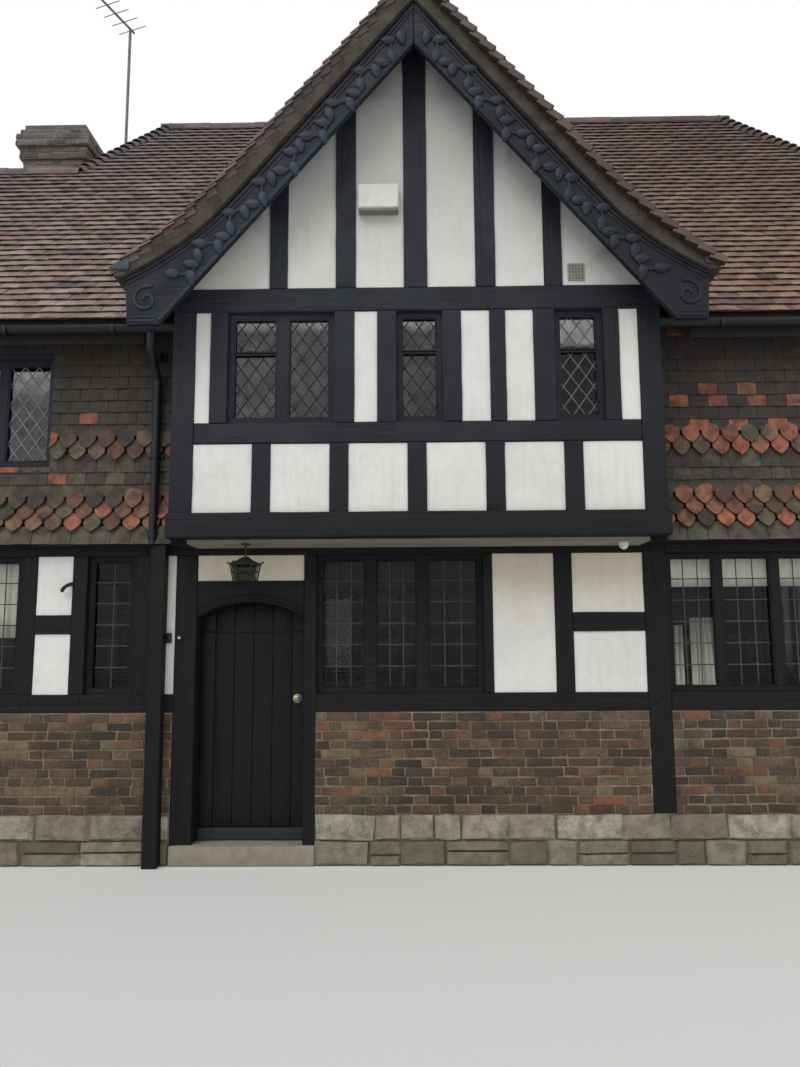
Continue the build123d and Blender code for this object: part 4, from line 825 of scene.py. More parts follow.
def pick(piece: Object, kind: str, test: Callable[[Vector, Vector], bool]) -> None:
    """Selects faces, edges or points of an open mesh by place.

    Args:
        piece: the mesh object, in edit mode.
        kind: FACE, EDGE or VERT.
        test: is given the middle, and the normal or direction, of each.
    """
    bpy.ops.mesh.select_mode(type=kind)
    bpy.ops.mesh.select_all(action="DESELECT")
    mesh = bmesh.from_edit_mesh(piece.data)
    if kind == "FACE":
        for face in mesh.faces:
            face.select_set(test(face.calc_center_median(), face.normal))
    elif kind == "EDGE":
        for edge in mesh.edges:
            first, last = (v.co for v in edge.verts)
            edge.select_set(test((first + last) / 2, (last - first).normalized()))
    else:
        for point in mesh.verts:
            point.select_set(test(point.co, point.normal))
    mesh.select_flush_mode()
    bmesh.update_edit_mesh(piece.data)


def looks_front(middle: Vector, normal: Vector) -> bool:
    """Tells whether a face looks to the front."""
    return normal.y < -0.9


def lies_level(middle: Vector, normal: Vector) -> bool:
    """Tells whether a face looks straight up or down."""
    return abs(normal.z) > 0.9


def cut_across(place: Sequence[float], normal: Sequence[float], **settings: bool) -> None:
    """Cuts all of the open mesh with a plane."""
    bpy.ops.mesh.select_all(action="SELECT")
    bpy.ops.mesh.bisect(plane_co=place, plane_no=normal, **settings)


def turned_out() -> None:
    """Turns all faces of the open mesh outwards."""
    bpy.ops.mesh.select_all(action="SELECT")
    bpy.ops.mesh.normals_make_consistent(inside=False)


def raised(border: float, out: float) -> None:
    """Insets the chosen faces of the open mesh and moves what they leave towards the front."""
    bpy.ops.mesh.inset(thickness=border, depth=0.0)
    bpy.ops.transform.translate(value=(0, -out, 0))


def baked(piece: Object) -> Object:
    """Puts an object's place, turn and scale into its mesh.

    Args:
        piece: the object.

    Returns:
        The same object.
    """
    alone(piece)
    bpy.ops.object.transform_apply(location=True, rotation=True, scale=True)
    return piece


def added(name: str) -> Object:
    """Names the object that was added last, and bakes it.

    Args:
        name: its new name.

    Returns:
        The object.
    """
    piece = bpy.context.object
    piece.name = name
    return baked(piece)


def block(name: str, low: Sequence[float], high: Sequence[float]) -> Object:
    """Adds a block between two corners, as a start for a piece.

    Args:
        name: the object's name.
        low: the corner with the lowest x, y and z.
        high: the opposite corner.

    Returns:
        The object.
    """
    centre = [(a + b) / 2 for a, b in zip(low, high)]
    bpy.ops.mesh.primitive_cube_add(size=1, location=centre, scale=[b - a for a, b in zip(low, high)])
    return added(name)


def drum(
    name: str, centre: Sequence[float], radius: float, depth: float, sides: int = 16,
    turn: Sequence[float] = (0, 0, 0),
) -> Object:
    """Adds a closed cylinder, as a start for a piece.

    Args:
        name: the object's name.
        centre: its middle.
        radius: its radius.
        depth: its length.
        sides: the number of faces around it.
        turn: how it is turned from upright.

    Returns:
        The object.
    """
    bpy.ops.mesh.primitive_cylinder_add(
        vertices=sides, radius=radius, depth=depth, location=centre, rotation=turn,
    )
    return added(name)


def cone(
    name: str, centre: Sequence[float], low: float, high: float, depth: float, sides: int = 6,
) -> Object:
    """Adds a closed cone or frustum that stands upright."""
    bpy.ops.mesh.primitive_cone_add(vertices=sides, radius1=low, radius2=high, depth=depth, location=centre)
    return added(name)


def applied(piece: Object, kind: str, **settings: object) -> Object:
    """Adds a modifier and applies it.

    Args:
        piece: the mesh object.
        kind: the modifier's type.
        settings: its properties.

    Returns:
        The same object.
    """
    alone(piece)
    modifier = piece.modifiers.new(kind.title(), kind)
    for key, value in settings.items():
        setattr(modifier, key, value)
    bpy.ops.object.modifier_apply(modifier=modifier.name)
    return piece


def bevelled(piece: Object, width: float, segments: int = 1) -> Object:
    """Bevels the sharp edges of a piece."""
    sharp = math.radians(30)
    return applied(piece, "BEVEL", width=width, segments=segments, limit_method="ANGLE", angle_limit=sharp)


def joined(name: str, pieces: Sequence[Object]) -> Object:
    """Joins several objects into one.

    Args:
        name: the name of what they become.
        pieces: the objects.

    Returns:
        The joined object.
    """
    bpy.ops.object.select_all(action="DESELECT")
    for piece in pieces:
        piece.select_set(True)
    bpy.context.view_layer.objects.active = pieces[0]
    bpy.ops.object.join()
    pieces[0].name = name
    return pieces[0]


def rod(name: str, points: Sequence[Sequence[float]], radius: float, smooth: bool = True) -> Object:
    """Sweeps a round rod along points.

    Args:
        name: the piece's name.
        points: the points it passes near (smooth) or through (not smooth).
        radius: the rod's radius.
        smooth: whether the line is a smooth curve or straight runs.

    Returns:
        The rod as a mesh object.
    """
    curve = bpy.data.curves.new(name, "CURVE")
    curve.dimensions = "3D"
    curve.bevel_depth = radius
    curve.bevel_resolution = 2
    curve.use_fill_caps = True
    curve.resolution_u = 4
    line = curve.splines.new("NURBS" if smooth else "POLY")
    line.points.add(len(points) - 1)
    for mark, where in zip(line.points, points):
        mark.co = (*where, 1.0)
    if smooth:
        line.order_u = 3
        line.use_endpoint_u = True
    piece = bpy.data.objects.new(name, curve)
    bpy.context.scene.collection.objects.link(piece)
    alone(piece)
    bpy.ops.object.convert(target="MESH")
    piece = bpy.context.object
    with editing(piece):
        bpy.ops.mesh.select_all(action="SELECT")
        bpy.ops.mesh.remove_doubles(threshold=0.00005)
    return piece


def settle(
    piece: Object, finishes: Sequence[Finish], body: Body = Body.HOUSE, stands_for: Sequence[str] = (),
    angle: float = 30.0,
) -> Object:
    """Gives a finished piece its material and body.

    Args:
        piece: the finished piece.
        finishes: its finishes, the first of them named in the log.
        body: the body that it moves with.
        stands_for: CAD nodes that it replaces.
        angle: the angle under which its edges look smooth.

    Returns:
        The same object.
    """
    if len(piece.data.materials) == 0:
        for finish in finishes:
            piece.data.materials.append(look(finish))
    alone(piece)
    bpy.ops.object.shade_smooth_by_angle(angle=math.radians(angle))
    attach(piece, body.value)
    if stands_for:
        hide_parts(*stands_for)
    LOG.info("%s: %d faces, %s", piece.name, len(piece.data.polygons), finishes[0].name)
    return piece


def paint(node: str, finish: Finish) -> None:
    """Gives a CAD node that stays its finish.

    Args:
        node: the node's name.
        finish: its finish.
    """
    mesh = frame_node(node).data
    mesh.materials.clear()
    mesh.materials.append(look(finish))
    LOG.info("%s: carried over, %s", node, finish.name)


def frame_node(node: str) -> Object:
    """Finds a CAD node's object."""
    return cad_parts[node]


def copy_of(node: str, name: str) -> Object:
    """Copies a CAD node's mesh into a new object, merged and with flat faces made whole.

    Args:
        node: the CAD node.
        name: the new object's name.

    Returns:
        The new object.
    """
    piece = bpy.data.objects.new(name, frame_node(node).data.copy())
    piece.data.materials.clear()
    bpy.context.scene.collection.objects.link(piece)
    with editing(piece):
        bpy.ops.mesh.select_all(action="SELECT")
        bpy.ops.mesh.remove_doubles(threshold=0.00002)
        bpy.ops.mesh.dissolve_limited(angle_limit=math.radians(1.0))
    return piece


def indoors(place: Vector) -> bool:
    """Tells whether a place is inside the house or its bay.

    Args:
        place: a point.

    Returns:
        True if it is inside.
    """
    if abs(place.x) < BAY_HALF and BAY_FRONT < place.y < FRONT and place.z > HEAD_TOP:
        return True
    if place.x > MAIN_LEFT:
        return place.x < MAIN_RIGHT and abs(place.y) < REAR
    return place.x > WING_LEFT and FRONT < place.y < WING_REAR


def lined(piece: Object, outer: Finish, inner: Finish) -> Object:
    """Gives the faces that look into the rooms another finish than those outside.

    Args:
        piece: the object.
        outer: the finish outside.
        inner: the finish inside.

    Returns:
        The same object.
    """
    for finish in (outer, inner):
        piece.data.materials.append(look(finish))
    for face in piece.data.polygons:
        face.material_index = int(indoors(face.center + 0.06 * face.normal))
    return piece


def sliced(piece: Object, axis: int, step: float) -> None:
    """Cuts a mesh across, every so far along an axis, so that it can be made uneven.

    Args:
        piece: the object.
        axis: 0, 1 or 2 for x, y or z.
        step: the distance between cuts.
    """
    low = min(v.co[axis] for v in piece.data.vertices)
    high = max(v.co[axis] for v in piece.data.vertices)
    normal = Matrix.Identity(3)[axis]
    count = int((high - low) / step)
    off_edges = 0.0003
    with editing(piece):
        for index in range(1, count + 1):
            place = [0.0, 0.0, 0.0]
            place[axis] = low + index * (high - low) / (count + 1) + off_edges
            cut_across(place, normal)


def uneven(piece: Object, strength: float, size: float) -> Object:
    """Makes a surface a little uneven, as hand-worked timber or plaster is.

    Args:
        piece: the object.
        strength: how far it moves in and out.
        size: the size of the unevenness.

    Returns:
        The same object.
    """
    cloud = bpy.data.textures.new(piece.name + "_unevenness", "CLOUDS")
    cloud.noise_scale = size
    cloud.noise_depth = 1
    return applied(
        piece, "DISPLACE", texture=cloud, strength=strength, mid_level=0.5, texture_coords="LOCAL",
    )


def islands(mesh: bpy.types.Mesh) -> list[list[int]]:
    """Groups the faces of a mesh by the solid they belong to.

    Args:
        mesh: the mesh.

    Returns:
        Lists of face numbers.
    """
    parent = list(range(len(mesh.vertices)))

    def root(point: int) -> int:
        """Follows a point to the first of its solid."""
        while parent[point] != point:
            parent[point] = parent[parent[point]]
            point = parent[point]
        return point

    for edge in mesh.edges:
        first, last = (root(v) for v in edge.vertices)
        parent[first] = last
    groups: dict[int, list[int]] = {}
    for face in mesh.polygons:
        groups.setdefault(root(face.vertices[0]), []).append(face.index)
    return list(groups.values())


class Stock:
    """One shape, modelled once and kept as points and faces to be copied."""

    def __init__(self, piece: Object) -> None:
        """Takes the shape from an object and clears the object away."""
        self.points = np.array([v.co[:] for v in piece.data.vertices])
        self.faces = [tuple(face.vertices) for face in piece.data.polygons]
        bpy.data.objects.remove(piece)


Cut = tuple[Vector, Vector]


def clipped(points: np.ndarray, faces: Faces, cut: Cut) -> tuple[np.ndarray, Faces]:
    """Cuts a small closed shape with a plane and closes it again.

    Args:
        points: the shape's points.
        faces: its faces.
        cut: a point on the plane, and the normal towards what goes.

    Returns:
        The points and faces that stay.
    """
    mesh = bmesh.new()
    marks = [mesh.verts.new(p) for p in points]
    for face in faces:
        mesh.faces.new([marks[i] for i in face])
    everything = mesh.verts[:] + mesh.edges[:] + mesh.faces[:]
    place, normal = cut
    bmesh.ops.bisect_plane(
        mesh, geom=everything, plane_co=place, plane_no=normal, clear_outer=True, dist=1e-6,
    )
    rim = [edge for edge in mesh.edges if edge.is_boundary]
    if rim:
        bmesh.ops.holes_fill(mesh, edges=rim, sides=0)
    mesh.verts.index_update()
    new_points = np.array([v.co[:] for v in mesh.verts]).reshape(-1, 3)
    new_faces = [tuple(v.index for v in face.verts) for face in mesh.faces]
    mesh.free()
    return new_points, new_faces


class Laid:
    """Many copies of a few shapes in one mesh, with a tone and an accent for each copy."""

    def __init__(self) -> None:
        """Starts with nothing laid."""
        self.points: list[np.ndarray] = []
        self.faces: Faces = []
        self.tones: list[np.ndarray] = []
        self.count = 0

    def put(
        self, stock: Stock, matrix: Matrix, tone: float = 0.5, accent: float = 0.0,
        cuts: Iterable[Cut] = (),
    ) -> None:
        """Lays one copy.

        Args:
            stock: the shape.
            matrix: its place.
            tone: how light it is, 0 to 1.
            accent: how much it has of the accent colour.
            cuts: planes that trim it.
        """
        turn = np.array(matrix.to_3x3())
        points = stock.points @ turn.T + np.array(matrix.translation)
        faces = stock.faces
        for cut in cuts:
            place, normal = cut
            beyond = (points - np.array(place)) @ np.array(normal)
            if beyond.max() <= 1e-5:
                continue
            if beyond.min() >= -1e-3:
                return
            points, faces = clipped(points, faces, cut)
            if not faces:
                return
        self.points.append(points)
        self.faces.extend(tuple(i + self.count for i in face) for face in faces)
        self.tones.append(np.tile([tone, accent], (len(points), 1)))
        self.count += len(points)

    def build(self, name: str) -> Object:
        """Makes the object.

        Args:
            name: the piece's name.

        Returns:
            The object, with its tones as attributes.
        """
        mesh = bpy.data.meshes.new(name)
        mesh.from_pydata(np.concatenate(self.points).tolist(), [], self.faces)
        tones = np.concatenate(self.tones)
        for column, key in enumerate(("tone", "accent")):
            layer = mesh.attributes.new(key, "FLOAT", "POINT")
            layer.data.foreach_set("value", np.ascontiguousarray(tones[:, column], dtype=np.float32))
        piece = bpy.data.objects.new(name, mesh)
        bpy.context.scene.collection.objects.link(piece)
        return piece


def jitter(source: random.Random, reach: float) -> float:
    """Draws a value up to so far either way."""
    return source.uniform(-reach, reach)


def tone_near(source: random.Random, middle: float, spread: float) -> float:
    """Draws a tone near a middle one, kept between 0 and 1."""
    return min(1.0, max(0.0, source.gauss(middle, spread)))


def now_and_then(source: random.Random, chance: float, span: Span) -> float:
    """Draws a value out of a span with some chance, and else gives zero."""
    return source.uniform(*span) if source.random() < chance else 0.0


def axes_matrix(x_axis: Vector, y_axis: Vector, z_axis: Vector, place: Vector) -> Matrix:
    """Builds a placing matrix from three directions and a point.

    Args:
        x_axis: where the piece's x points to.
        y_axis: where its y points to.
        z_axis: where its z points to.
        place: where its origin goes.

    Returns:
        The matrix.
    """
    matrix = Matrix((x_axis, y_axis, z_axis)).transposed().to_4x4()
    matrix.translation = place
    return matrix


# Walls and slopes


@dataclass(frozen=True)
class Wall:
    """An outer wall face, by its normal and how far out it stands. From outside, u grows to the right."""

    normal: tuple[float, float]
    face: float

    @property
    def out(self) -> Vector:
        """The direction out of the wall."""
        return Vector((*self.normal, 0.0))

    @property
    def along(self) -> Vector:
        """The level direction along the wall."""
        return Vector((-self.normal[1], self.normal[0], 0.0))

    def point(self, u: float, z: float, out: float = 0.0) -> Vector:
        """A point on the wall, or so far out of it."""
        return self.along * u + self.out * (self.face + out) + Vector((0, 0, z))

    def upright(self, u: float, z: float, out: float = 0.0) -> Matrix:
        """Places a shape modelled with X along, Y into the wall and Z up."""
        return axes_matrix(self.along, -self.out, UP, self.point(u, z, out))

    def tilewise(self, u: float, z: float, out: float = 0.0) -> Matrix:
        """Places a tile modelled with X along, Y up and Z out."""
        return axes_matrix(self.along, UP, self.out, self.point(u, z, out))


FRONT_WALL = Wall((0.0, -1.0), 2.87)
REAR_WALL = Wall((0.0, 1.0), 2.87)
WING_REAR_WALL = Wall((0.0, 1.0), 0.952)
LEFT_WALL = Wall((-1.0, 0.0), 6.05)
RETURN_WALL = Wall((-1.0, 0.0), 3.68)
RIGHT_WALL = Wall((1.0, 0.0), 4.44)
BAY_WALL = Wall((0.0, -1.0), 3.27)
WALLS = (FRONT_WALL, REAR_WALL, WING_REAR_WALL, LEFT_WALL, RETURN_WALL, RIGHT_WALL)
WALL_ENDS = (
    (WING_LEFT, MAIN_RIGHT), (-MAIN_RIGHT, -MAIN_LEFT), (-MAIN_LEFT, -WING_LEFT),
    (-WING_REAR, -FRONT), (-REAR, -WING_REAR), (FRONT, REAR),
)
SOLIDS: dict[str, list[tuple[Vector, Vector]]] = {}


def solids(node: str) -> list[tuple[Vector, Vector]]:
    """The low and high corners of each solid of a CAD node.

    Args:
        node: the CAD node.

    Returns:
        A pair of corners for each solid.
    """
    if node not in SOLIDS:
        piece = copy_of(node, "measured")
        points = [v.co.copy() for v in piece.data.vertices]
        boxes = []
        for group in islands(piece.data):
            used = {i for face in group for i in piece.data.polygons[face].vertices}
            low = Vector([min(points[i][axis] for i in used) for axis in range(3)])
            high = Vector([max(points[i][axis] for i in used) for axis in range(3)])
            boxes.append((low, high))
        bpy.data.objects.remove(piece)
        SOLIDS[node] = boxes
    return SOLIDS[node]


def taken(wall: Wall, nodes: Sequence[str], low: float, high: float, reach: float = 0.09) -> list[Span]:
    """The lengths of a wall that solids of some nodes take up at a height.

    Args:
        wall: the wall.
        nodes: the CAD nodes.
        low, high: the heights between.
        reach: how far behind the face a solid still counts.

    Returns:
        Spans along the wall.
    """
    spans = []
    touch, proud = 0.004, 0.2
    for node in nodes:
        for first, last in solids(node):
            if last.z < low + touch or first.z > high - touch:
                continue
            outs = [corner.dot(wall.out) - wall.face for corner in (first, last)]
            if max(outs) < -reach or min(outs) > proud:
                continue
            ends = sorted(corner.dot(wall.along) for corner in (first, last))
            spans.append((ends[0], ends[1]))
    return spans


def left_over(whole: Span, blocked: Iterable[Span]) -> list[Span]:
    """What is left of a length once some spans are taken from it.

    Args:
        whole: the whole length.
        blocked: the spans that go.

    Returns:
        The spans that stay, without the shortest.
    """
    spans, least = [whole], 0.03
    for low, high in blocked:
        parts = []
        for start, end in spans:
            parts.extend([(start, min(end, low)), (max(start, high), end)])
        spans = [(start, end) for start, end in parts if end - start > least]
    return spans


def tile_stock(
    width: float, length: float, thick: float, lift: float, tilt: float, rounded: bool = False,
) -> Stock:
    """Models one clay tile: cambered, tilted, with its tail at the origin.

    Args:
        width: across.
        length: from tail to head.
        thick: its thickness.
        lift: how far its tail stands off the course below.
        tilt: how fast it drops towards its head.
        rounded: whether the tail is a fish scale.

    Returns:
        The tile, ready to be copied.
    """
    tile = block("tile", (-width / 2, 0, 0), (width / 2, length, thick))
    camber = 0.0035
    with editing(tile):
        if rounded:
            pick(tile, "EDGE", lambda middle, way: abs(way.z) > 0.9 and middle.y < 0.01)
            bpy.ops.mesh.bevel(offset=width * 0.49, segments=3, profile=0.34)
        else:
            cut_across((0, 0, 0), (1, 0, 0))
            pick(tile, "VERT", lambda middle, way: abs(middle.x) < 0.001)
            bpy.ops.transform.translate(value=(0, 0, camber))
    for point in tile.data.vertices:
        point.co.z += lift - tilt * point.co.y
    return Stock(tile)


@dataclass(frozen=True)
class Slope:
    """A flat roof slope: a point of its eaves, the level way along it and the way up it."""

    eaves: Vector
    across: Vector
    up: Vector

    def place(self, u: float, v: float) -> Matrix:
        """Places a tile so far along the eaves and up the slope."""
        normal = self.across.cross(self.up)
        return axes_matrix(self.across, self.up, normal, self.eaves + self.across * u + self.up * v)


def sprung(start: Vector, tip: Vector) -> tuple[float, float, Vector]:
    """Works out the circle that springs a slope of the bay outwards to its tip.

    Args:
        start: where the straight slope ends, across and up.
        tip: the low end of the spring.

    Returns:
        Half the angle that it turns by, its radius and its centre.
    """
    chord = tip - start
    bend = math.atan2(chord.y, chord.x) - BAY_STEEP
    radius = chord.length / (2 * math.sin(bend))
    return bend, radius, start + radius * Vector((-math.sin(BAY_STEEP), math.cos(BAY_STEEP)))


class Flare:
    """One slope of the bay's roof: straight from the apex, then sprung outwards to its eaves."""

    def __init__(self, side: int) -> None:
        """Works out the spring's circle for the right side (1) or the left (-1)."""
        self.side = side
        self.start = Vector((FLARE_X, BAY_APEX - BAY_RISE * FLARE_X))
        bend, self.radius, self.centre = sprung(self.start, Vector((BAY_TIP.x, BAY_TIP.z)))
        self.spring = self.radius * 2 * bend
        self.length = self.spring + FLARE_X / math.cos(BAY_STEEP)

    def profile(self, v: float) -> tuple[Vector, float]:
        """The slope's line so far up from its tip.

        Args:
            v: the distance up from the tip.

        Returns:
            The point in plan distance and height, and the angle of the line outwards.
        """
        if v < self.spring:
            angle = BAY_STEEP + (self.spring - v) / self.radius
            return self.centre + self.radius * Vector((math.sin(angle), -math.cos(angle))), angle
        way = Vector((math.cos(BAY_STEEP), math.sin(BAY_STEEP)))
        return self.start - way * (v - self.spring), BAY_STEEP

    def ways(self, angle: float) -> tuple[Vector, Vector]:
        """The directions up the slope and out of it where its line has an angle."""
        up = Vector((-self.side * math.cos(angle), 0, -math.sin(angle)))
        return up, Vector((-self.side * math.sin(angle), 0, math.cos(angle)))

    def place(self, u: float, v: float) -> Matrix:
        """Places a tile so far along, from front to back, and up the slope.

        Args:
            u: how far along.
            v: how far up the slope.

        Returns:
            Its placing matrix.
        """
        point, angle = self.profile(v)
        up, normal = self.ways(angle)
        place = Vector((self.side * point.x, self.side * u, point.y))
        return axes_matrix(up.cross(normal), up, normal, place)

    def top(self, x: float) -> float:
        """The roof's height above a distance from the bay's middle, or far below it outside.

        Args:
            x: the distance, to the right of the bay's middle.

        Returns:
            The height.
        """
        x = abs(x)
        if x > BAY_TIP.x:
            return -10.0
        if x <= FLARE_X:
            return BAY_APEX - BAY_RISE * x
        angle = math.asin((x - self.centre.x) / self.radius)
        return self.centre.y - self.radius * math.cos(angle)


def front_slope_height(y: float) -> float:
    """The height of the front roof slope at a distance from front to back."""
    return ROOF_OVER_WALL + TAN_ROOF * (y - FRONT)


def hip_corner(side: int, front: int) -> Vector:
    """An end of a half hip's eaves, right (1) or left (-1), rear (1) or front (-1), or its middle (0)."""
    return Vector((MAIN_RIGHT if side > 0 else MAIN_LEFT, front * HIP_HALF, WING_RIDGE))


def anywhere(place: Vector) -> bool:
    """Says yes to every place."""
    return True


# What the house is clad with


@dataclass
class RoofTiles:
    """Plain tiles on every slope, with ridge tiles and bonnet hips."""

    gauge: float = TILE_GAUGE
    width: float = TILE_WIDTH
    length: float = 0.165
    overhang: float = 0.035
    ridge_radius: float = 0.125
    ridge_length: float = 0.31
    slips: tuple[Span, Span, Span] = ((-0.0015, 0.0015), (-0.004, 0.004), (0, 0.004))

    def __post_init__(self) -> None:
        """Models the tile once, and works out where the slopes lie."""
        self.random = random.Random(11)
        self.tile = tile_stock(self.width - 0.004, self.length, 0.015, 0.02, 0.16)
        self.bay = Flare(1)
        self.cosine, self.sine = math.cos(ROOF_PITCH), math.sin(ROOF_PITCH)
        self.eaves_top = ROOF_OVER_WALL - TAN_ROOF * EAVES
        self.main_length = (MAIN_HALF + EAVES) / self.cosine
        self.wing_length = (WING_HALF + EAVES) / self.cosine

    def course(
        self, laid: Laid, slope: Slope | Flare, v: float, span: Span, step: int, keep: PlaceTest,
        cuts: Sequence[Cut], cut_if: PlaceTest,
    ) -> None:
        """Lays one course of tiles.

        Args:
            laid: where the copies go.
            slope: the slope.
            v: how far up the slope.
            span: the course's two ends.
            step: the course's number, for the bond.
            keep: says whether there is a tile at a place.
            cuts: planes that trim the tiles.
            cut_if: says whether a tile is trimmed at all.
        """
        u = span[0] + (self.width / 2 if step % 2 == 0 else 0.0)
        while u < span[1] + self.width / 2:
            place = slope.place(u, v)
            if keep(place.translation):
                shift = Matrix.Translation([self.random.uniform(*slip) for slip in self.slips])
                turn = Matrix.Rotation(jitter(self.random, 0.012), 4, "Z")
                tone = tone_near(self.random, 0.52, 0.2)
                accent = now_and_then(self.random, 0.05, (0.3, 0.8))
                trims = cuts if cut_if(place.translation) else ()
                laid.put(self.tile, place @ shift @ turn, tone, accent, trims)
            u += self.width

    def lay(
        self, name: str, slope: Slope | Flare, span: Span, reach: float, keep: PlaceTest,
        cuts: Sequence[Cut], cut_if: PlaceTest = anywhere,
    ) -> None:
        """Tiles a slope from its eaves to its ridge.

        Args:
            name: the piece's name.
            slope: the slope.
            span: its two ends along the eaves.
            reach: its length up to the ridge.
            keep: says whether there is a tile at a place.
            cuts: planes that trim the tiles.
            cut_if: says whether a tile is trimmed at all.
        """
        laid = Laid()
        self.course(laid, slope, -0.02, span, 1, keep, cuts, cut_if)
        for step in range(int((reach - 0.03) / self.gauge) + 1):
            self.course(laid, slope, step * self.gauge - 0.03, span, step, keep, cuts, cut_if)
        settle(laid.build(name), [BAY_TILE if "bay" in name else ROOF_TILE])

    def hip_cut(self, side: int, front: int, inside: bool) -> Cut:
        """The plane of a half hip's edge.

        Args:
            side: 1 for the right end, -1 for the left.
            front: -1 for the front hip, 1 for the rear one.
            inside: True to trim the long slope, False to trim the half hip.

        Returns:
            A point on the plane, and the normal towards what goes.
        """
        normal = Vector((side * HIP_HALF, -front * HIP_RUN, 0)).normalized()
        return (hip_corner(side, front), normal if inside else -normal)

    def verge_cut(self, side: int, x: float) -> Cut:
        """The plane of a gable's edge."""
        return (Vector((x + side * self.overhang, 0, 0)), Vector((side, 0, 0)))

    def slopes(self) -> None:
        """Tiles the long slopes, the half hips and the bay's two slopes."""
        up_front = Vector((0, self.cosine, self.sine))
        up_rear = Vector((0, -self.cosine, self.sine))
        front = Slope(Vector((0, FRONT - EAVES, self.eaves_top)), Vector((1, 0, 0)), up_front)
        rear = Slope(Vector((0, REAR + EAVES, self.eaves_top)), Vector((-1, 0, 0)), up_rear)
        wing = Slope(Vector((0, WING_REAR + EAVES, self.eaves_top)), Vector((-1, 0, 0)), up_rear)
        wing_top = -MAIN_HALF + WING_HALF
        bay_top, overlap = self.bay.top, 0.14
        seam = 0.08

        def front_keep(place: Vector) -> bool:
            """Leaves the bay's roof free."""
            return front_slope_height(place.y) > bay_top(place.x) - overlap

        ridge_cut = (Vector((0, -0.005, 0)), Vector((0, 1, 0)))
        left, right = WING_LEFT - self.overhang, MAIN_RIGHT + self.overhang
        hips = [self.hip_cut(1, -1, True), self.hip_cut(-1, -1, True), ridge_cut]
        hips.append(self.verge_cut(1, MAIN_RIGHT))
        self.lay(
            "roof_tiles_front_right", front, (0.0, right), self.main_length,
            lambda p: p.x > seam and front_keep(p), hips,
        )
        self.lay(
            "roof_tiles_front_left", front, (-self.width * 22, self.width / 4), self.main_length,
            lambda p: p.x <= seam and front_keep(p), hips, lambda p: p.z > WING_RIDGE - 0.3,
        )
        wing_cuts = [self.verge_cut(-1, WING_LEFT), (Vector((0, wing_top, 0)), Vector((0, 1, 0)))]
        start = -self.width * 37
        self.lay(
            "roof_tiles_front_wing", front, (start, -self.width * 22 - 0.02), self.wing_length,
            lambda p: p.x > left - self.width, wing_cuts,
        )
        rear_cuts = [
            self.hip_cut(1, 1, True), self.hip_cut(-1, 1, True),
            (Vector((0, 0.005, 0)), Vector((0, -1, 0))),
            self.verge_cut(1, MAIN_RIGHT), self.verge_cut(-1, MAIN_LEFT),
        ]
        ends = (-MAIN_RIGHT - self.overhang, -MAIN_LEFT + self.overhang)
        self.lay("roof_tiles_rear", rear, ends, self.main_length, anywhere, rear_cuts)
        insets = (0.06, -0.06, 0.06, -0.06)
        west, east, south, north = (side + inset for side, inset in zip(CHIMNEY, insets))

        def clear_of_chimney(place: Vector) -> bool:
            """Leaves the chimney free."""
            return not (west < place.x < east and south < place.y < north)

        wing_rear_cuts = [
            self.verge_cut(-1, WING_LEFT), (Vector((MAIN_LEFT - 0.005, 0, 0)), Vector((1, 0, 0))),
            (Vector((0, wing_top, 0)), Vector((0, -1, 0))),
        ]
        self.lay(
            "roof_tiles_rear_wing", wing, (-MAIN_LEFT, -WING_LEFT + self.overhang), self.wing_length,
            clear_of_chimney, wing_rear_cuts,
        )
        reach = HIP_RUN / math.cos(HIP_PITCH)
        for side, name in ((1, "roof_tiles_half_hip_right"), (-1, "roof_tiles_half_hip_left")):
            run = Vector((-side * math.cos(HIP_PITCH), 0, math.sin(HIP_PITCH)))
            hip = Slope(hip_corner(side, 0), Vector((0, side, 0)), run)
            cuts = [self.hip_cut(side, -1, False), self.hip_cut(side, 1, False)]
            self.lay(name, hip, (-HIP_HALF - 0.1, HIP_HALF + 0.1), reach, anywhere, cuts)
        front_edge = -BAY_ROOF_FRONT + 0.03
        for side, name in ((1, "roof_tiles_bay_right"), (-1, "roof_tiles_bay_left")):
            span = (-front_edge, -0.85) if side > 0 else (0.85, front_edge)
            cuts = [
                (Vector((0, -front_edge, 0)), Vector((0, -1, 0))),
                (Vector((0, 0, 0)), Vector((-side, 0, 0))),
            ]
            self.lay(
                name, Flare(side), span, self.bay.length,
                lambda p: bay_top(p.x) > front_slope_height(p.y) - overlap, cuts,
            )

    def ridge_stock(self) -> Stock:
        """Models one half-round ridge tile along X, its near end a little raised.

        Returns:
            The tile, ready to be copied.
        """
        along_x = (0, math.radians(90), 0)
        tile = drum("ridge_tile", (0, 0, 0), self.ridge_radius, self.ridge_length, 16, along_x)
        with editing(tile):
            cut_across((0, 0, -0.001), (0, 0, -1), clear_outer=True)
            pick(tile, "FACE", lambda middle, normal: abs(normal.x) > 0.9)
            bpy.ops.mesh.delete(type="FACE")
        applied(tile, "SOLIDIFY", thickness=0.015, offset=-1.0)
        return Stock(tile)

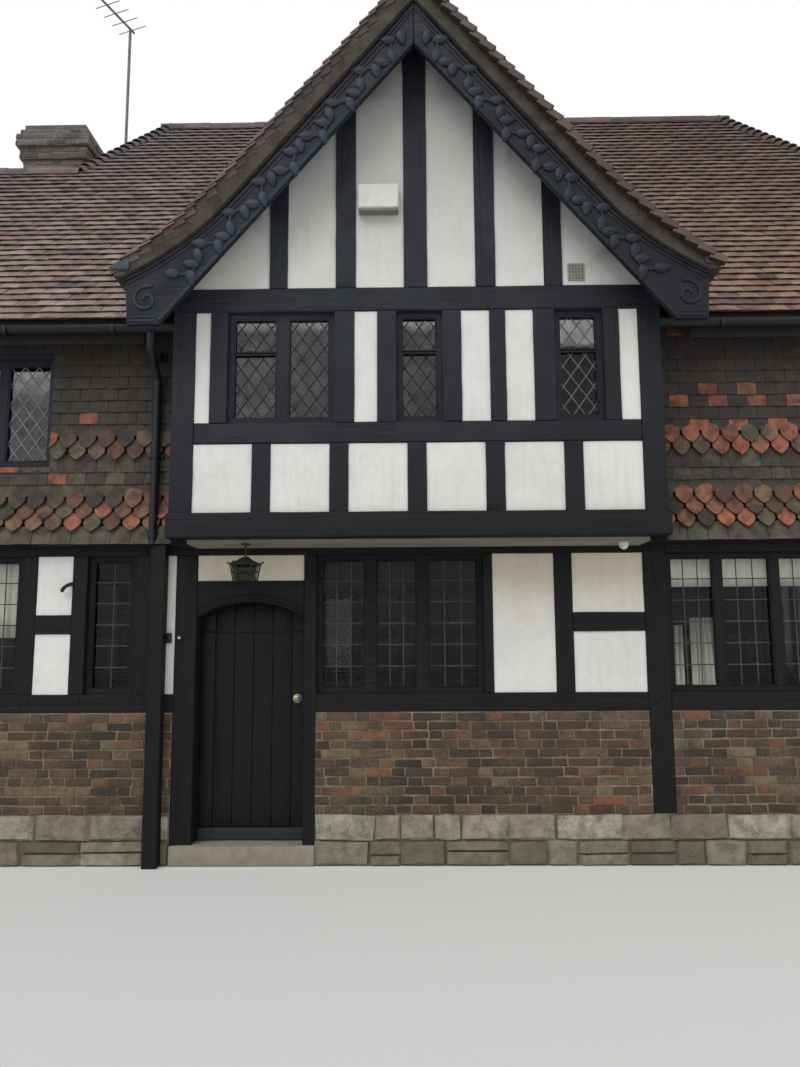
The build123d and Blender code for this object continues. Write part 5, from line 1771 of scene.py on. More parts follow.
    def ridges(self) -> None:
        """Lays the ridge tiles of the range, the wing and the bay, and the bonnets of the hips."""
        tile = self.ridge_stock()
        laid = Laid()
        bay_back = -MAIN_HALF + (BAY_APEX - ROOF_OVER_WALL) / TAN_ROOF
        wing_y = WING_HALF - MAIN_HALF
        main, wing, bay = MAIN_RIDGE - 0.085, WING_RIDGE - 0.085, BAY_APEX - 0.075
        lap = 0.012
        runs = (
            ((MAIN_LEFT + HIP_RUN - 0.1, 0, main), (MAIN_RIGHT - HIP_RUN + 0.1, 0, main)),
            ((WING_LEFT - 0.03, wing_y, wing), (MAIN_LEFT, wing_y, wing)),
            ((0, BAY_ROOF_FRONT - 0.03, bay), (0, bay_back + 0.12, bay)),
        )
        for ends in runs:
            first, last = (Vector(end) for end in ends)
            along = (last - first).normalized()
            count = math.ceil((last - first).length / (self.ridge_length - lap))
            for index in range(count):
                lift = Vector((0, 0, jitter(self.random, 0.004)))
                middle = first.lerp(last, (index + 0.5) / count) + lift
                matrix = axes_matrix(along, UP.cross(along), UP, middle)
                laid.put(tile, matrix, self.random.uniform(0.1, 0.7), 0.0)
        settle(laid.build("ridge_tiles_laid"), [ROOF_TILE], stands_for=["ridge_tiles"])

    def verges(self) -> None:
        """Beds a stepped row of tile ends along the bay's two front edges."""
        end = block("verge_end", (-0.065, -0.004, -0.05), (0.065, 0.045, 0.012))
        with editing(end):
            bpy.ops.mesh.select_all(action="SELECT")
            bpy.ops.transform.rotate(value=-0.16, orient_axis="X", center_override=(0, 0, 0))
        stock = Stock(bevelled(end, 0.004))
        laid = Laid()
        tilt, bed = 0.24, 0.012
        for side in (1, -1):
            flare = Flare(side)
            for index in range(int(self.bay.length / self.gauge)):
                point, angle = flare.profile(index * self.gauge + 0.04)
                up, normal = flare.ways(angle)
                tip = (up - normal * tilt).normalized()
                face = (normal + up * tilt).normalized()
                y = BAY_ROOF_FRONT - 0.008 + jitter(self.random, 0.005)
                place = Vector((side * point.x, y, point.y)) + normal * bed
                matrix = axes_matrix(tip, face.cross(tip), face, place)
                laid.put(stock, matrix, self.random.uniform(0, 0.45))
        settle(laid.build("verge_tile_ends"), [BAY_TILE])

    def lead_tips(self) -> None:
        """Dresses a pointed lead cap over each low end of the bay's verges."""
        tips = []
        for side in (1, -1):
            tip = block("tip", (2.15, -3.634, 4.418), (2.292, -3.5, 4.53))
            with editing(tip):
                pick(tip, "VERT", lambda middle, way: middle.x > 2.28)
                bpy.ops.transform.resize(value=(1, 1, 0.25), center_override=(2.292, -3.57, 4.5))
                pick(tip, "VERT", lambda middle, way: middle.x < 2.2 and middle.z > 4.5)
                bpy.ops.transform.translate(value=(0, 0, 0.075))
                pick(tip, "VERT", lambda middle, way: middle.x < 2.2 and middle.z < 4.43)
                bpy.ops.transform.translate(value=(0, 0, 0.06))
            tip.scale = (side, 1, 1)
            baked(tip)
            with editing(tip):
                turned_out()
            tips.append(bevelled(tip, 0.008, 2))
        settle(joined("verge_lead_tips", tips), [TIP_LEAD])

    def bonnets(self) -> None:
        """Lays the stepped bonnet tiles down the four hips."""
        bonnet = cone("bonnet", (0, 0, 0), 0.115, 0.07, 0.2, 12)
        with editing(bonnet):
            cut_across((0, 0.012, 0), (0, -1, 0), clear_outer=True)
            pick(bonnet, "FACE", lies_level)
            bpy.ops.mesh.delete(type="FACE")
        applied(bonnet, "SOLIDIFY", thickness=0.014, offset=-1.0)
        stock = Stock(bonnet)
        laid = Laid()
        tilt = 0.11
        for side in (1, -1):
            for front in (-1, 1):
                low = hip_corner(side, front)
                high = Vector((low.x - side * HIP_RUN, 0, MAIN_RIDGE))
                up = (high - low).normalized()
                out = Vector((side * HIP_HALF * 0.9, front * HIP_RUN * 1.2, 1.15)).normalized()
                out = (out - up * out.dot(up)).normalized()
                count = int((high - low).length / self.gauge)
                for index in range(count):
                    place = low + up * (index * self.gauge + 0.06) - out * 0.052
                    tip = (up * math.cos(tilt) - out * math.sin(tilt)).normalized()
                    face = (out - tip * out.dot(tip)).normalized()
                    matrix = axes_matrix(face.cross(tip), face, tip, place)
                    laid.put(stock, matrix, self.random.uniform(0, 0.5))
        settle(laid.build("bonnet_hips"), [ROOF_TILE])

    def build(self) -> None:
        """Builds the whole roof covering."""
        self.slopes()
        self.ridges()
        self.verges()
        self.lead_tips()
        self.bonnets()
        for node in ("front_left", "front_right", "front_wing", "rear_main", "rear_wing"):
            paint("roof_" + node, UNDER_TILES)
        paint("half_hips", UNDER_TILES)
        for node in ("bay_roof_left", "bay_roof_right"):
            paint(node, VERGE)


@dataclass
class HungTiles:
    """Tiles hung on the upper walls: plain courses with two fish-scale bands."""

    gauge: float = 0.1
    width: float = 0.158
    bottom: float = 2.5
    bedding: float = 0.03
    kick: float = 0.066
    kick_step: float = 0.022
    low_band: Span = (2.585, 2.875)
    high_band: Span = (3.175, 3.37)

    def __post_init__(self) -> None:
        """Models the plain and the fish-scale tile once."""
        self.random = random.Random(23)
        self.plain = tile_stock(self.width - 0.004, 0.155, 0.01, 0.014, 0.1)
        self.scale = tile_stock(self.width - 0.022, 0.165, 0.018, 0.032, 0.2, rounded=True)

    def banded(self, z: float) -> bool:
        """Tells whether a height lies in one of the fish-scale bands."""
        return any(low < z < high for low, high in (self.low_band, self.high_band))

    def tone(self, z: float, column: int, step: int, mellow: bool, rows: bool) -> tuple[float, float]:
        """The tone and accent of a tile by its height.

        Args:
            z: its height.
            column: its place in the course.
            step: the course's number.
            mellow: whether few tiles of its wall are orange.
            rows: whether every second tile of two courses over the bands is orange.

        Returns:
            The tone and the accent.
        """
        # Tones darken up the wall: the dark tones of the upper courses are painted shade under the eaves.
        if z < 2.58:
            return self.random.uniform(0.72, 0.85), 0.0
        if self.banded(z):
            accents = (0.0, 0.0, 0.15, 0.25, 0.35, 0.8) if mellow else (0.0, 0.1, 0.25, 0.4, 0.65, 0.95)
            return self.random.choice((0.3, 0.62, 0.8, 0.9, 1.0)), self.random.choice(accents)
        single = 0.03
        if z < self.high_band[0]:
            return self.random.uniform(0.3, 0.85), 0.9 if self.random.random() < single else 0.0
        if z < self.high_band[1] + 0.32:
            above = round((z - self.high_band[1]) / self.gauge - 0.3)
            chance = (0.9 if above in (0, 2) else 0.0) if rows else 0.2
            orange = (column + step // 2) % 2 == 0 and self.random.random() < chance
            return self.random.uniform(0.0, 0.42), self.random.uniform(0.6, 0.95) if orange else 0.0
        return self.random.uniform(0.0, 0.36), 0.7 if self.random.random() < single else 0.0

    def spans(self, wall: Wall, ends: Span, z: float) -> list[tuple[Span, list[Cut]]]:
        """What of a course is free of windows, and how it is trimmed below them.

        Args:
            wall: the wall.
            ends: the course's two ends.
            z: its height.

        Returns:
            Spans along the wall, each with its further cuts.
        """
        low, high = UPPER_WINDOW
        if not low - 0.19 < z < high - 0.02:
            return [(ends, [])]
        frames = taken(wall, ["window_frames"], low, high, 0.16)
        blocked = [(first - 0.02, last + 0.02) for first, last in frames]
        free = [(span, []) for span in left_over(ends, blocked)]
        if z < low - self.gauge * 0.4:
            free += [(span, [(wall.point(span[0], low - 0.024), UP)]) for span in blocked]
        return free

    def hang(self, name: str, wall: Wall, limits: Callable[[float], Span | None], top: float) -> None:
        """Hangs the tiles of one wall.

        Args:
            name: the piece's name.
            wall: the wall.
            limits: gives the two ends of a course at a height.
            top: the height of the last course.
        """
        laid = Laid()
        for step in range(int((top - self.bottom) / self.gauge) + 1):
            z = self.bottom - 0.02 + step * self.gauge
            middle = z + self.gauge / 2
            ends = limits(middle)
            if ends is None or ends[1] - ends[0] < 0.1:
                continue
            kick = max(0.0, self.kick - step * self.kick_step)
            stock = self.scale if self.banded(middle) else self.plain
            for span, trims in self.spans(wall, ends, z):
                cuts = [(wall.point(span[0], z), -wall.along), (wall.point(span[1], z), wall.along), *trims]
                column = math.floor(span[0] / self.width)
                while column * self.width < span[1] + self.width:
                    u = column * self.width + (self.width / 2 if step % 2 else 0.0)
                    tone, accent = self.tone(middle, column, step, wall is FRONT_WALL and u < 0, u > 0)
                    slip, rise = jitter(self.random, 0.001), jitter(self.random, 0.003)
                    out = self.bedding + kick + self.random.uniform(0, 0.003)
                    turn = Matrix.Rotation(jitter(self.random, 0.01), 4, "Z")
                    if kick > 0:
                        turn = turn @ Matrix.Rotation(-0.21, 4, "X")
                    laid.put(stock, wall.tilewise(u + slip, z + rise, out) @ turn, tone, accent, cuts)
                    column += 1
        settle(laid.build(name), [HUNG_TILE])

    def build(self) -> None:
        """Hangs every upper wall."""
        eaves_level = ROOF_OVER_WALL - ROOF_DROP

        def gable(first: float, last: float, ridge: float, half: float) -> Callable[[float], Span | None]:
            """Gives the course ends of a gable wall.

            Args:
                first, last: the wall's two ends.
                ridge: the place of its ridge.
                half: half the gable's width at the eaves.

            Returns:
                A function from height to the two ends.
            """
            def ends(z: float) -> Span | None:
                """The two ends at a height."""
                if z < eaves_level:
                    return (first, last)
                room = half - (z - eaves_level) / TAN_ROOF
                return (max(first, ridge - room), min(last, ridge + room)) if room > 0.1 else None

            return ends

        top = WING_RIDGE - 0.25
        self.hang("hung_tiles_front_left", FRONT_WALL, lambda z: (WING_LEFT, -BAY_HALF), HUNG_TOP)
        self.hang("hung_tiles_front_right", FRONT_WALL, lambda z: (BAY_HALF, MAIN_RIGHT), HUNG_TOP)
        self.hang("hung_tiles_rear", REAR_WALL, lambda z: (-MAIN_RIGHT, -MAIN_LEFT), HUNG_TOP)
        inner_corner = -MAIN_LEFT + 0.03
        self.hang("hung_tiles_rear_wing", WING_REAR_WALL, lambda z: (inner_corner, -WING_LEFT), HUNG_TOP)
        self.hang("hung_tiles_right_gable", RIGHT_WALL, gable(FRONT, REAR, 0.0, MAIN_HALF), top)
        wing_gable = gable(-WING_REAR, -FRONT, -(WING_REAR + FRONT) / 2, WING_HALF)
        self.hang("hung_tiles_left_gable", LEFT_WALL, wing_gable, top)
        self.hang("hung_tiles_return", RETURN_WALL, gable(-REAR, -WING_REAR, 0.0, MAIN_HALF), top)
        self.skirts()
        for node in ("hung_tiles_long_walls", "hung_tiles_end_walls", "left_gable_wall"):
            paint(node, HUNG_BED)

    def skirts(self) -> None:
        """Runs a black fillet under the lowest course of every wall but the bay's."""
        made = []
        past_corner, short_of_corner = 0.05, 0.08
        for wall, (first, last) in zip(WALLS, WALL_ENDS):
            if wall is RETURN_WALL:
                last -= short_of_corner
            if wall is WING_REAR_WALL:
                first += short_of_corner
            bay = [(-BAY_HALF, BAY_HALF)] if wall is FRONT_WALL else []
            for start, end in left_over((first - past_corner, last + past_corner), bay):
                skirt = block("skirt", (start, -self.kick, 2.472), (end, 0.0, 2.508))
                skirt.data.transform(wall.upright(0, 0))
                made.append(skirt)
        settle(bevelled(joined("hung_tile_skirts", made), 0.01), [TIMBER_FLAT])


@dataclass
class Brickwork:
    """Flemish bond bricks on the dado and the chimney, and the stones of the plinth."""

    stretcher: float = 0.215
    header: float = 0.1025
    joint: float = 0.014
    height: float = 0.0575
    proud: float = 0.004
    corbels: tuple[float, ...] = (0.0, 0.035, 0.07, 0.07, 0.035, 0.035)

    def __post_init__(self) -> None:
        """Models a stretcher, a header and a few stones once."""
        self.random = random.Random(37)
        self.long_bricks = [self.brick(self.stretcher, seed) for seed in range(6)]
        self.short_bricks = [self.brick(self.header, seed) for seed in range(6)]
        self.stones = [self.stone(seed) for seed in range(8)]

    def brick(self, length: float, seed: int) -> Stock:
        """Models one brick face with worn and uneven edges, its front to -Y.

        Args:
            length: its length.
            seed: which of the bricks of this length.

        Returns:
            The brick, ready to be copied.
        """
        brick = block("brick", (-length / 2, 0, 0), (length / 2, 0.014, self.height))
        with editing(brick):
            pick(brick, "FACE", looks_front)
            raised(0.005, 0.004)
        wear = random.Random(seed)
        for point in brick.data.vertices:
            point.co += Vector([jitter(wear, reach) for reach in (0.005, 0.001, 0.0045)])
        return Stock(brick)

    def stone(self, seed: int) -> Stock:
        """Models one uneven stone, a unit wide and high, its front to -Y.

        Args:
            seed: which stone.

        Returns:
            The stone, ready to be stretched and copied.
        """
        shape = random.Random(seed)
        stone = block("stone", (-0.5, 0, 0), (0.5, 0.05, 1.0))
        with editing(stone):
            cut_across((jitter(shape, 0.15), 0, 0), (1, 0, jitter(shape, 0.2)))
            pick(stone, "FACE", looks_front)
            raised(0.04, 0.014)
            raised(0.05, 0.006)
        for point in stone.data.vertices:
            if point.co.y < 0.04:
                spans = ((-0.035, 0.035), (-0.005, 0.003), (-0.05, 0.04))
                point.co += Vector([shape.uniform(*span) for span in spans])
        return Stock(stone)

    def run(self, laid: Laid, wall: Wall, span: Span, z: float, step: int) -> None:
        """Lays one course between two ends.

        Args:
            laid: where the copies go.
            wall: the wall.
            span: the two ends.
            z: the course's height.
            step: its number, for the bond.
        """
        (start, end), inset = span, 0.003
        cuts = [(wall.point(start + inset, z), -wall.along), (wall.point(end - inset, z), wall.along)]
        pitch = self.stretcher + self.header + 2 * self.joint
        bond = pitch / 2 if step % 2 else 0.0
        u = math.floor(start / pitch) * pitch - bond - self.random.uniform(0.0, 0.05)
        while u < end:
            for stocks, length in ((self.long_bricks, self.stretcher), (self.short_bricks, self.header)):
                tone = tone_near(self.random, 0.42, 0.32)
                accent = now_and_then(self.random, 0.1, (0.2, 0.9))
                stretch = self.random.uniform(0.86, 1.06)
                lift = 0.003 * math.sin(2.3 * u + step) + jitter(self.random, 0.002)
                out = self.proud + self.random.uniform(-0.003, 0.0015)
                place = wall.upright(u + length * stretch / 2, z + lift, out)
                turn = Matrix.Rotation(jitter(self.random, 0.016), 4, "Y")
                size = Matrix.Diagonal((stretch, 1, 1, 1))
                laid.put(self.random.choice(stocks), place @ (turn @ size), tone, accent, cuts)
                u += length * stretch + self.joint

    def dado(self) -> None:
        """Bricks every wall between the plinth and the sill beams."""
        laid = Laid()
        for wall, ends in zip(WALLS, WALL_ENDS):
            for step in range(11):
                z = PLINTH_TOP + 0.005 + step * BRICK_COURSE
                blocked = taken(wall, ["ground_posts", "door_posts", "pipe_boxing"], z, z + self.height)
                if wall is FRONT_WALL:
                    blocked.append(DOORWAY)
                for span in left_over(ends, blocked):
                    self.run(laid, wall, span, z, step)
        settle(laid.build("dado_bricks"), [BRICKS])
        mortar = lined(copy_of("brick_dado", "dado_mortar"), MORTAR, INNER_PLASTER)
        settle(mortar, [MORTAR], stands_for=["brick_dado"])

    def stack(self) -> None:
        """Bricks the chimney above the roof, with its corbels."""
        laid = Laid()
        top, gauge, courses = 7.899, 0.075, 36
        for step in range(courses):
            z = top - gauge * (step + 1) + 0.007
            out = self.corbels[step] if step < len(self.corbels) else 0.0
            west, east, south, north = (side + way * out for side, way in zip(CHIMNEY, (-1, 1, -1, 1)))
            sides = (
                (Wall((0.0, -1.0), -south), (west, east)), (Wall((0.0, 1.0), north), (-east, -west)),
                (Wall((-1.0, 0.0), -west), (-north, -south)), (Wall((1.0, 0.0), east), (south, north)),
            )
            for wall, span in sides:
                self.run(laid, wall, span, z, step)
        settle(laid.build("chimney_bricks"), [STACK_BRICKS])
        paint("chimney", MORTAR)

    def stone_course(self, laid: Laid, wall: Wall, span: Span, heights: Span, pale: float) -> None:
        """Lays one course of uneven stones between two ends, dark ones now and then in two halves.

        Args:
            laid: where the copies go.
            wall: the wall.
            span: the two ends.
            heights: the course's foot and head.
            pale: what is added to the stones' tones.
        """
        (u, end), (low, high), gap = span, heights, 0.01
        while u < end - 0.02:
            length = self.random.uniform(0.2, 0.5)
            if end - u - length < 0.14:
                length = end - u
            tone = pale + self.random.uniform(0.0, 0.6)
            middle = low + (high - low) * self.random.uniform(0.4, 0.6)
            halved = pale == 0.0 and self.random.random() < 0.35
            for foot, head in ((low, middle), (middle, high)) if halved else ((low, high),):
                size = Matrix.Diagonal((length - gap, 1.0, head - foot - gap, 1.0))
                out = self.proud + jitter(self.random, 0.003)
                place = wall.upright(u + length / 2, foot + gap / 2, out)
                turn = Matrix.Rotation(jitter(self.random, 0.012), 4, "Y")
                stone = self.random.choice(self.stones)
                laid.put(stone, place @ turn @ size, tone, self.random.uniform(0, 0.3))
            u += length

    def plinth(self) -> None:
        """Lays the stones of the plinth in uneven courses."""
        laid = Laid()
        for wall, ends in zip(WALLS, WALL_ENDS):
            blocked = taken(wall, ["pipe_boxing"], 0.0, PLINTH_TOP)
            if wall is FRONT_WALL:
                blocked.append(DOORWAY)
            for span in left_over(ends, blocked):
                self.stone_course(laid, wall, span, (0.0, 0.185), 0.0)
                self.stone_course(laid, wall, span, (0.185, PLINTH_TOP), 0.4)
        settle(laid.build("plinth_stones"), [STONES])
        paint("plinth_long_walls", STONE_BED)
        paint("plinth_end_walls", STONE_BED)

    def build(self) -> None:
        """Builds the masonry."""
        self.dado()
        self.stack()
        self.plinth()


@dataclass(frozen=True)
class Timber:
    """How a CAD timber is dressed: its cuts, its worn edges and its unevenness."""

    node: str
    step: float = 0.28
    bevel: float = 0.006
    wave: float = 0.009
    size: float = 0.3

    def dress(self) -> None:
        """Makes the piece from the CAD node's copy, its grain along each timber."""
        piece = copy_of(self.node, self.node + "_timber")
        for axis in range(3):
            sliced(piece, axis, self.step)
        bevelled(piece, self.bevel)
        uneven(piece, self.wave, self.size)
        mesh = piece.data
        for finish in (TIMBER_FLAT, TIMBER_SIDE, TIMBER_UP):
            mesh.materials.append(look(finish))
        points = np.array([v.co[:] for v in mesh.vertices])
        for group in islands(mesh):
            used = np.array([i for face in group for i in mesh.polygons[face].vertices])
            extent = points[used].max(axis=0) - points[used].min(axis=0)
            for face in group:
                mesh.polygons[face].material_index = int(np.argmax(extent))
        settle(piece, [TIMBER_FLAT], stands_for=[self.node])


@dataclass
class TimberFrame:
    """The oak frame, the white panels, floors and inner walls."""

    timbers: tuple[Timber, ...] = (
        Timber("ground_rails"),
        Timber("ground_posts"),
        Timber("door_posts", step=0.2),
        Timber("door_head", step=0.15),
        Timber("bay_beams", step=0.25, bevel=0.01, wave=0.012),
        Timber("bay_posts", step=0.16, wave=0.014, size=0.16),
        Timber("bay_cheeks"),
        Timber("pipe_boxing", step=0.3, bevel=0.004, wave=0.004),
        Timber("window_frames", step=0.4, bevel=0.005, wave=0.003),
    )

    def panels(self) -> None:
        """Dresses the white panels, a little uneven as hand plaster is."""
        for node in ("ground_panels", "bay_panels"):
            piece = copy_of(node, node + "_plaster")
            sliced(piece, 0, 0.3)
            sliced(piece, 2, 0.3)
            bevelled(piece, 0.004)
            uneven(piece, 0.007, 0.4)
            settle(lined(piece, PLASTER, INNER_PLASTER), [PLASTER], stands_for=[node])

    def pegs(self) -> None:
        """Drives pegs where posts meet the rails of the front."""
        peg = drum("peg", (0, 0.004, 0), 0.011, 0.02, 8, LAID_TO_FRONT)
        with editing(peg):
            pick(peg, "FACE", looks_front)
            bpy.ops.mesh.inset(thickness=0.004, depth=0.002)
        stock = Stock(peg)
        laid = Laid()
        for low, high in solids("ground_posts"):
            if low.y > FRONT + 0.3 or high.x - low.x > 0.3:
                continue
            middle = (low.x + high.x) / 2
            for z in (HEAD_BOTTOM + 0.035, SILL_TOP - 0.06):
                for shift in (-0.025, 0.03):
                    laid.put(stock, FRONT_WALL.upright(middle + shift, z + shift * 0.4, 0.003))
        for low, high in solids("bay_posts"):
            if high.y < -3.2 and high.x - low.x < 0.2:
                middle = (low.x + high.x) / 2
                laid.put(stock, BAY_WALL.upright(middle, 2.645, 0.036))
                laid.put(stock, BAY_WALL.upright(middle + 0.02, 3.26, 0.006))
        settle(laid.build("oak_pegs"), [TIMBER_UP])

    def build(self) -> None:
        """Builds the frame and paints what carries it."""
        for timber in self.timbers:
            timber.dress()
        self.panels()
        self.pegs()
        for part in ("main", "wing"):
            paint("ground_floor_" + part, FLAGS)
            paint("first_floor_" + part, BOARDS)
        for part in ("long", "end"):
            paint("upper_%s_walls" % part, INNER_PLASTER)
        paint("jetty_floor", SOFFIT)


@dataclass(frozen=True)
class Light:
    """One light of a window, as its sheet of glass gives it."""

    wall: Wall
    left: float
    right: float
    low: float
    high: float
    out: float

    @property
    def middle(self) -> float:
        """The middle of the light along its wall."""
        return (self.left + self.right) / 2


def lights() -> list[Light]:
    """Finds every light of every window from its glass.

    Returns:
        The lights.
    """
    found = []
    for low, high in solids("window_glass"):
        centre = (low + high) / 2
        for wall in (BAY_WALL, *WALLS):
            depth = wall.face - centre.dot(wall.out)
            ends = sorted(corner.dot(wall.along) for corner in (low, high))
            if 0.0 < depth < 0.13 and ends[1] - ends[0] > 0.05:
                found.append(Light(wall, ends[0], ends[1], low.z, high.z, 0.003 - depth))
                break
    return found


@dataclass
class Windows:
    """Leads, casements, top lights, blinds and the curtain."""

    came: float = 0.009
    pane: tuple[float, float] = (0.13, 0.182)
    diamond: tuple[float, float] = (0.118, 0.165)
    casement: float = 0.013
    top_light: float = 3.96

    def __post_init__(self) -> None:
        """Finds the lights and models one lead."""
        self.lights = lights()
        lead = block("lead", (-0.5, -0.003, -self.came / 2), (0.5, 0.004, self.came / 2))
        with editing(lead):
            pick(lead, "EDGE", lambda middle, way: abs(way.x) > 0.9 and middle.y < 0)
            bpy.ops.mesh.bevel(offset=0.0025, segments=1)
        self.lead = Stock(lead)
        LOG.info("windows: %d lights", len(self.lights))

    def bar(self, laid: Laid, light: Light, first: Vector, last: Vector) -> None:
        """Lays one lead between two points of a light, trimmed to the light.

        Args:
            laid: where the copies go.
            light: the light.
            first, last: its ends along the wall and up.
        """
        low, high = 0.0, 1.0
        way = last - first
        for axis, (least, most) in enumerate(((light.left, light.right), (light.low, light.high))):
            if abs(way[axis]) < 1e-9:
                if not least < first[axis] < most:
                    return
                continue
            ends = sorted(((least - first[axis]) / way[axis], (most - first[axis]) / way[axis]))
            low, high = max(low, ends[0]), min(high, ends[1])
        length = (high - low) * way.length
        if high - low < 0.01 or length < 0.02:
            return
        centre = first + way * (low + high) / 2
        size = Matrix.Diagonal((length, 1, 1, 1))
        turn = Matrix.Rotation(-math.atan2(way.y, way.x), 4, "Y")
        laid.put(self.lead, light.wall.upright(centre.x, centre.y, light.out) @ turn @ size)

    def squares(self, laid: Laid, light: Light) -> None:
        """Lays the square leads of one light.

        Args:
            laid: what the leads are laid into.
            light: the light.
        """
        width, height = light.right - light.left, light.high - light.low
        columns, rows = max(1, round(width / self.pane[0])), max(1, round(height / self.pane[1]))
        past = 0.1
        for index in range(1, columns):
            u = light.left + width * index / columns
            self.bar(laid, light, Vector((u, light.low - past)), Vector((u, light.high + past)))
        for index in range(1, rows):
            z = light.low + height * index / rows
            self.bar(laid, light, Vector((light.left - past, z)), Vector((light.right + past, z)))

    def diamonds(self, laid: Laid, light: Light) -> None:
        """Lays the diamond leads of one light.

        Args:
            laid: what the leads are laid into.
            light: the light.
        """
        width, height = light.right - light.left, light.high - light.low
        wide, tall = self.diamond
        run = height / (tall / wide)
        count = int((width + run) / wide) + 2
        for index in range(-count, count + 1):
            start = light.middle + (index + 0.5) * wide
            for side in (1, -1):
                self.bar(laid, light, Vector((start, light.low)), Vector((start + side * run, light.high)))

    def leads(self) -> None:
        """Lays square leads below and diamond leads above, in copies of the lead painted darker or paler by
        place as painted shade and reflection.
        """
        square, dark, pale, sky_lit = Laid(), Laid(), Laid(), Laid()
        for light in self.lights:
            if light.low < 2.0:
                self.squares(square, light)
            elif light.wall is not BAY_WALL:
                self.diamonds(sky_lit, light)
            else:
                self.diamonds(pale if light.middle > 1.0 else dark, light)
        settle(square.build("square_leads"), [LEAD])
        settle(dark.build("diamond_leads"), [SHADED_LEAD])
        settle(pale.build("diamond_leads_pale"), [GLINTING_LEAD])
        settle(sky_lit.build("diamond_leads_silver"), [SKY_LIT_LEAD])

    def surround(
        self, light: Light, low: float, high: float, width: float, depth: float, back: float,
    ) -> Object:
        """Models one casement frame as a block opened through its middle.

        Args:
            light: the light that it stands in.
            low, high: its lower and upper edges.
            width: the width of its members.
            depth: how deep they are.
            back: how far out of the glass it stands.

        Returns:
            The frame.
        """
        frame = block("casement", (light.left, -depth, low), (light.right, 0.0, high))
        with editing(frame):
            pick(frame, "FACE", lambda middle, normal: abs(normal.y) > 0.9)
            bpy.ops.mesh.inset(thickness=width, use_individual=True)
            bpy.ops.mesh.bridge_edge_loops()
            turned_out()
        frame.data.transform(light.wall.upright(0, 0, light.out + back))
        return frame

    def casements(self) -> None:
        """Builds the slim casement in each light, with top lights in the bay."""
        made = []
        gap = 0.004
        for light in self.lights:
            splits = [(light.low, light.high)]
            if light.wall is BAY_WALL and not -1.05 < light.middle < -0.6:
                splits = [(light.low, self.top_light - gap), (self.top_light + gap, light.high)]
            for low, high in splits:
                made.append(self.surround(light, low, high, self.casement, 0.024, 0.004))
        piece = joined("casements", made)
        bevelled(piece, 0.003)
        settle(piece, [TIMBER_UP])

    def casings(self) -> None:
        """Lines the openings of the tile-hung walls with black boards."""
        made = []
        low, high = UPPER_WINDOW
        side, edge = 0.022, 0.024
        for wall in WALLS:
            for left, right in taken(wall, ["window_frames"], low, high, 0.16):
                opening = Light(wall, left - side, right + side, low, high, 0.0)
                made.append(self.surround(opening, low - edge, high + edge, 0.036, 0.1, -0.056))
        settle(bevelled(joined("window_casings", made), 0.004), [TIMBER_UP])

    def blind(
        self, name: str, edges: Span, heights: Span, folds: int, shading: Sequence[float],
        depth: float = 0.012, slant: float = 0.0,
    ) -> None:
        """Hangs one piece of cloth behind the glass.

        Args:
            name: the piece's name.
            edges: its left and right edge along the front.
            heights: its hem and its top.
            folds: how many folds it has.
            shading: how light it is from its hem to its top.
            depth: how deep the folds are.
            slant: how far its right edge draws in at the hem.
        """
        (left, right), (low, high) = edges, heights
        bpy.ops.mesh.primitive_grid_add(x_subdivisions=folds * 12, y_subdivisions=18, size=1)
        piece = bpy.context.object
        piece.name = name
        shades = []
        for point in piece.data.vertices:
            share, drop = point.co.x + 0.5, point.co.y + 0.5
            x = left + (right - left - slant * (1 - drop)) * share
            turn = share * folds * 2 * math.pi
            wave = (math.sin(turn) + 0.35 * math.sin(1.7 * turn + 1.3)) * (1.0 - 0.25 * drop)
            point.co = Vector((x, FRONT + 0.13 + depth * wave, low + (high - low) * drop))
            tone = float(np.interp(drop, np.linspace(0, 1, len(shading)), shading))
            # Painted shade: folds that lie further back are darker.
            shades.append(tone * (1.0 - min(0.75, 22 * depth) * (0.5 + 0.37 * wave)))
        layer = piece.data.attributes.new("shade", "FLOAT", "POINT")
        layer.data.foreach_set("value", np.array(shades, dtype=np.float32))
        alone(piece)
        bpy.ops.object.transform_apply(location=True, rotation=True, scale=True)
        settle(piece, [LINEN], angle=60)

    def ground_front(self, west: float, east: float) -> list[Light]:
        """The lights of the front's ground storey that begin between two places, from left to right."""
        chosen = [w for w in self.lights if w.wall is FRONT_WALL and w.low < 2 and west < w.left < east]
        return sorted(chosen, key=lambda w: w.left)

    def build(self) -> None:
        """Builds all that stands in the windows."""
        paint("window_glass", GLASS)
        self.leads()
        self.casements()
        self.casings()
        # How light each cloth is painted from hem to top, as painted shade: blinds darker at hem and top,
        # curtains darker towards the top.
        rolled = (0.62, 0.76, 1.15, 1.15, 1.1, 1.05, 1.0, 0.6)
        drawn = (1.3, 1.15, 0.9, 0.66, 0.46, 0.34)
        right, left = self.ground_front(1.9, MAIN_RIGHT), self.ground_front(WING_LEFT, -3)
        tuck, curtain_foot = 0.02, SILL_TOP + 0.03
        for number, light in enumerate(right, 1):
            edges = (light.left - tuck, light.right + tuck)
            self.blind("blind_right_%d" % number, edges, (2.13, 2.395), 5, rolled, 0.006)
        edge = right[0].left
        self.blind("curtain_right_1", (edge - tuck, edge + 0.11), (curtain_foot, 1.82), 3, drawn, 0.024)
        edges = (edge + 0.17, right[0].right + 0.01)
        self.blind("curtain_right_2", edges, (curtain_foot, 1.88), 5, drawn, 0.024, -0.04)
        self.blind("blind_left", (left[-1].left - tuck, left[-1].right + tuck), (1.75, 2.395), 6, rolled)


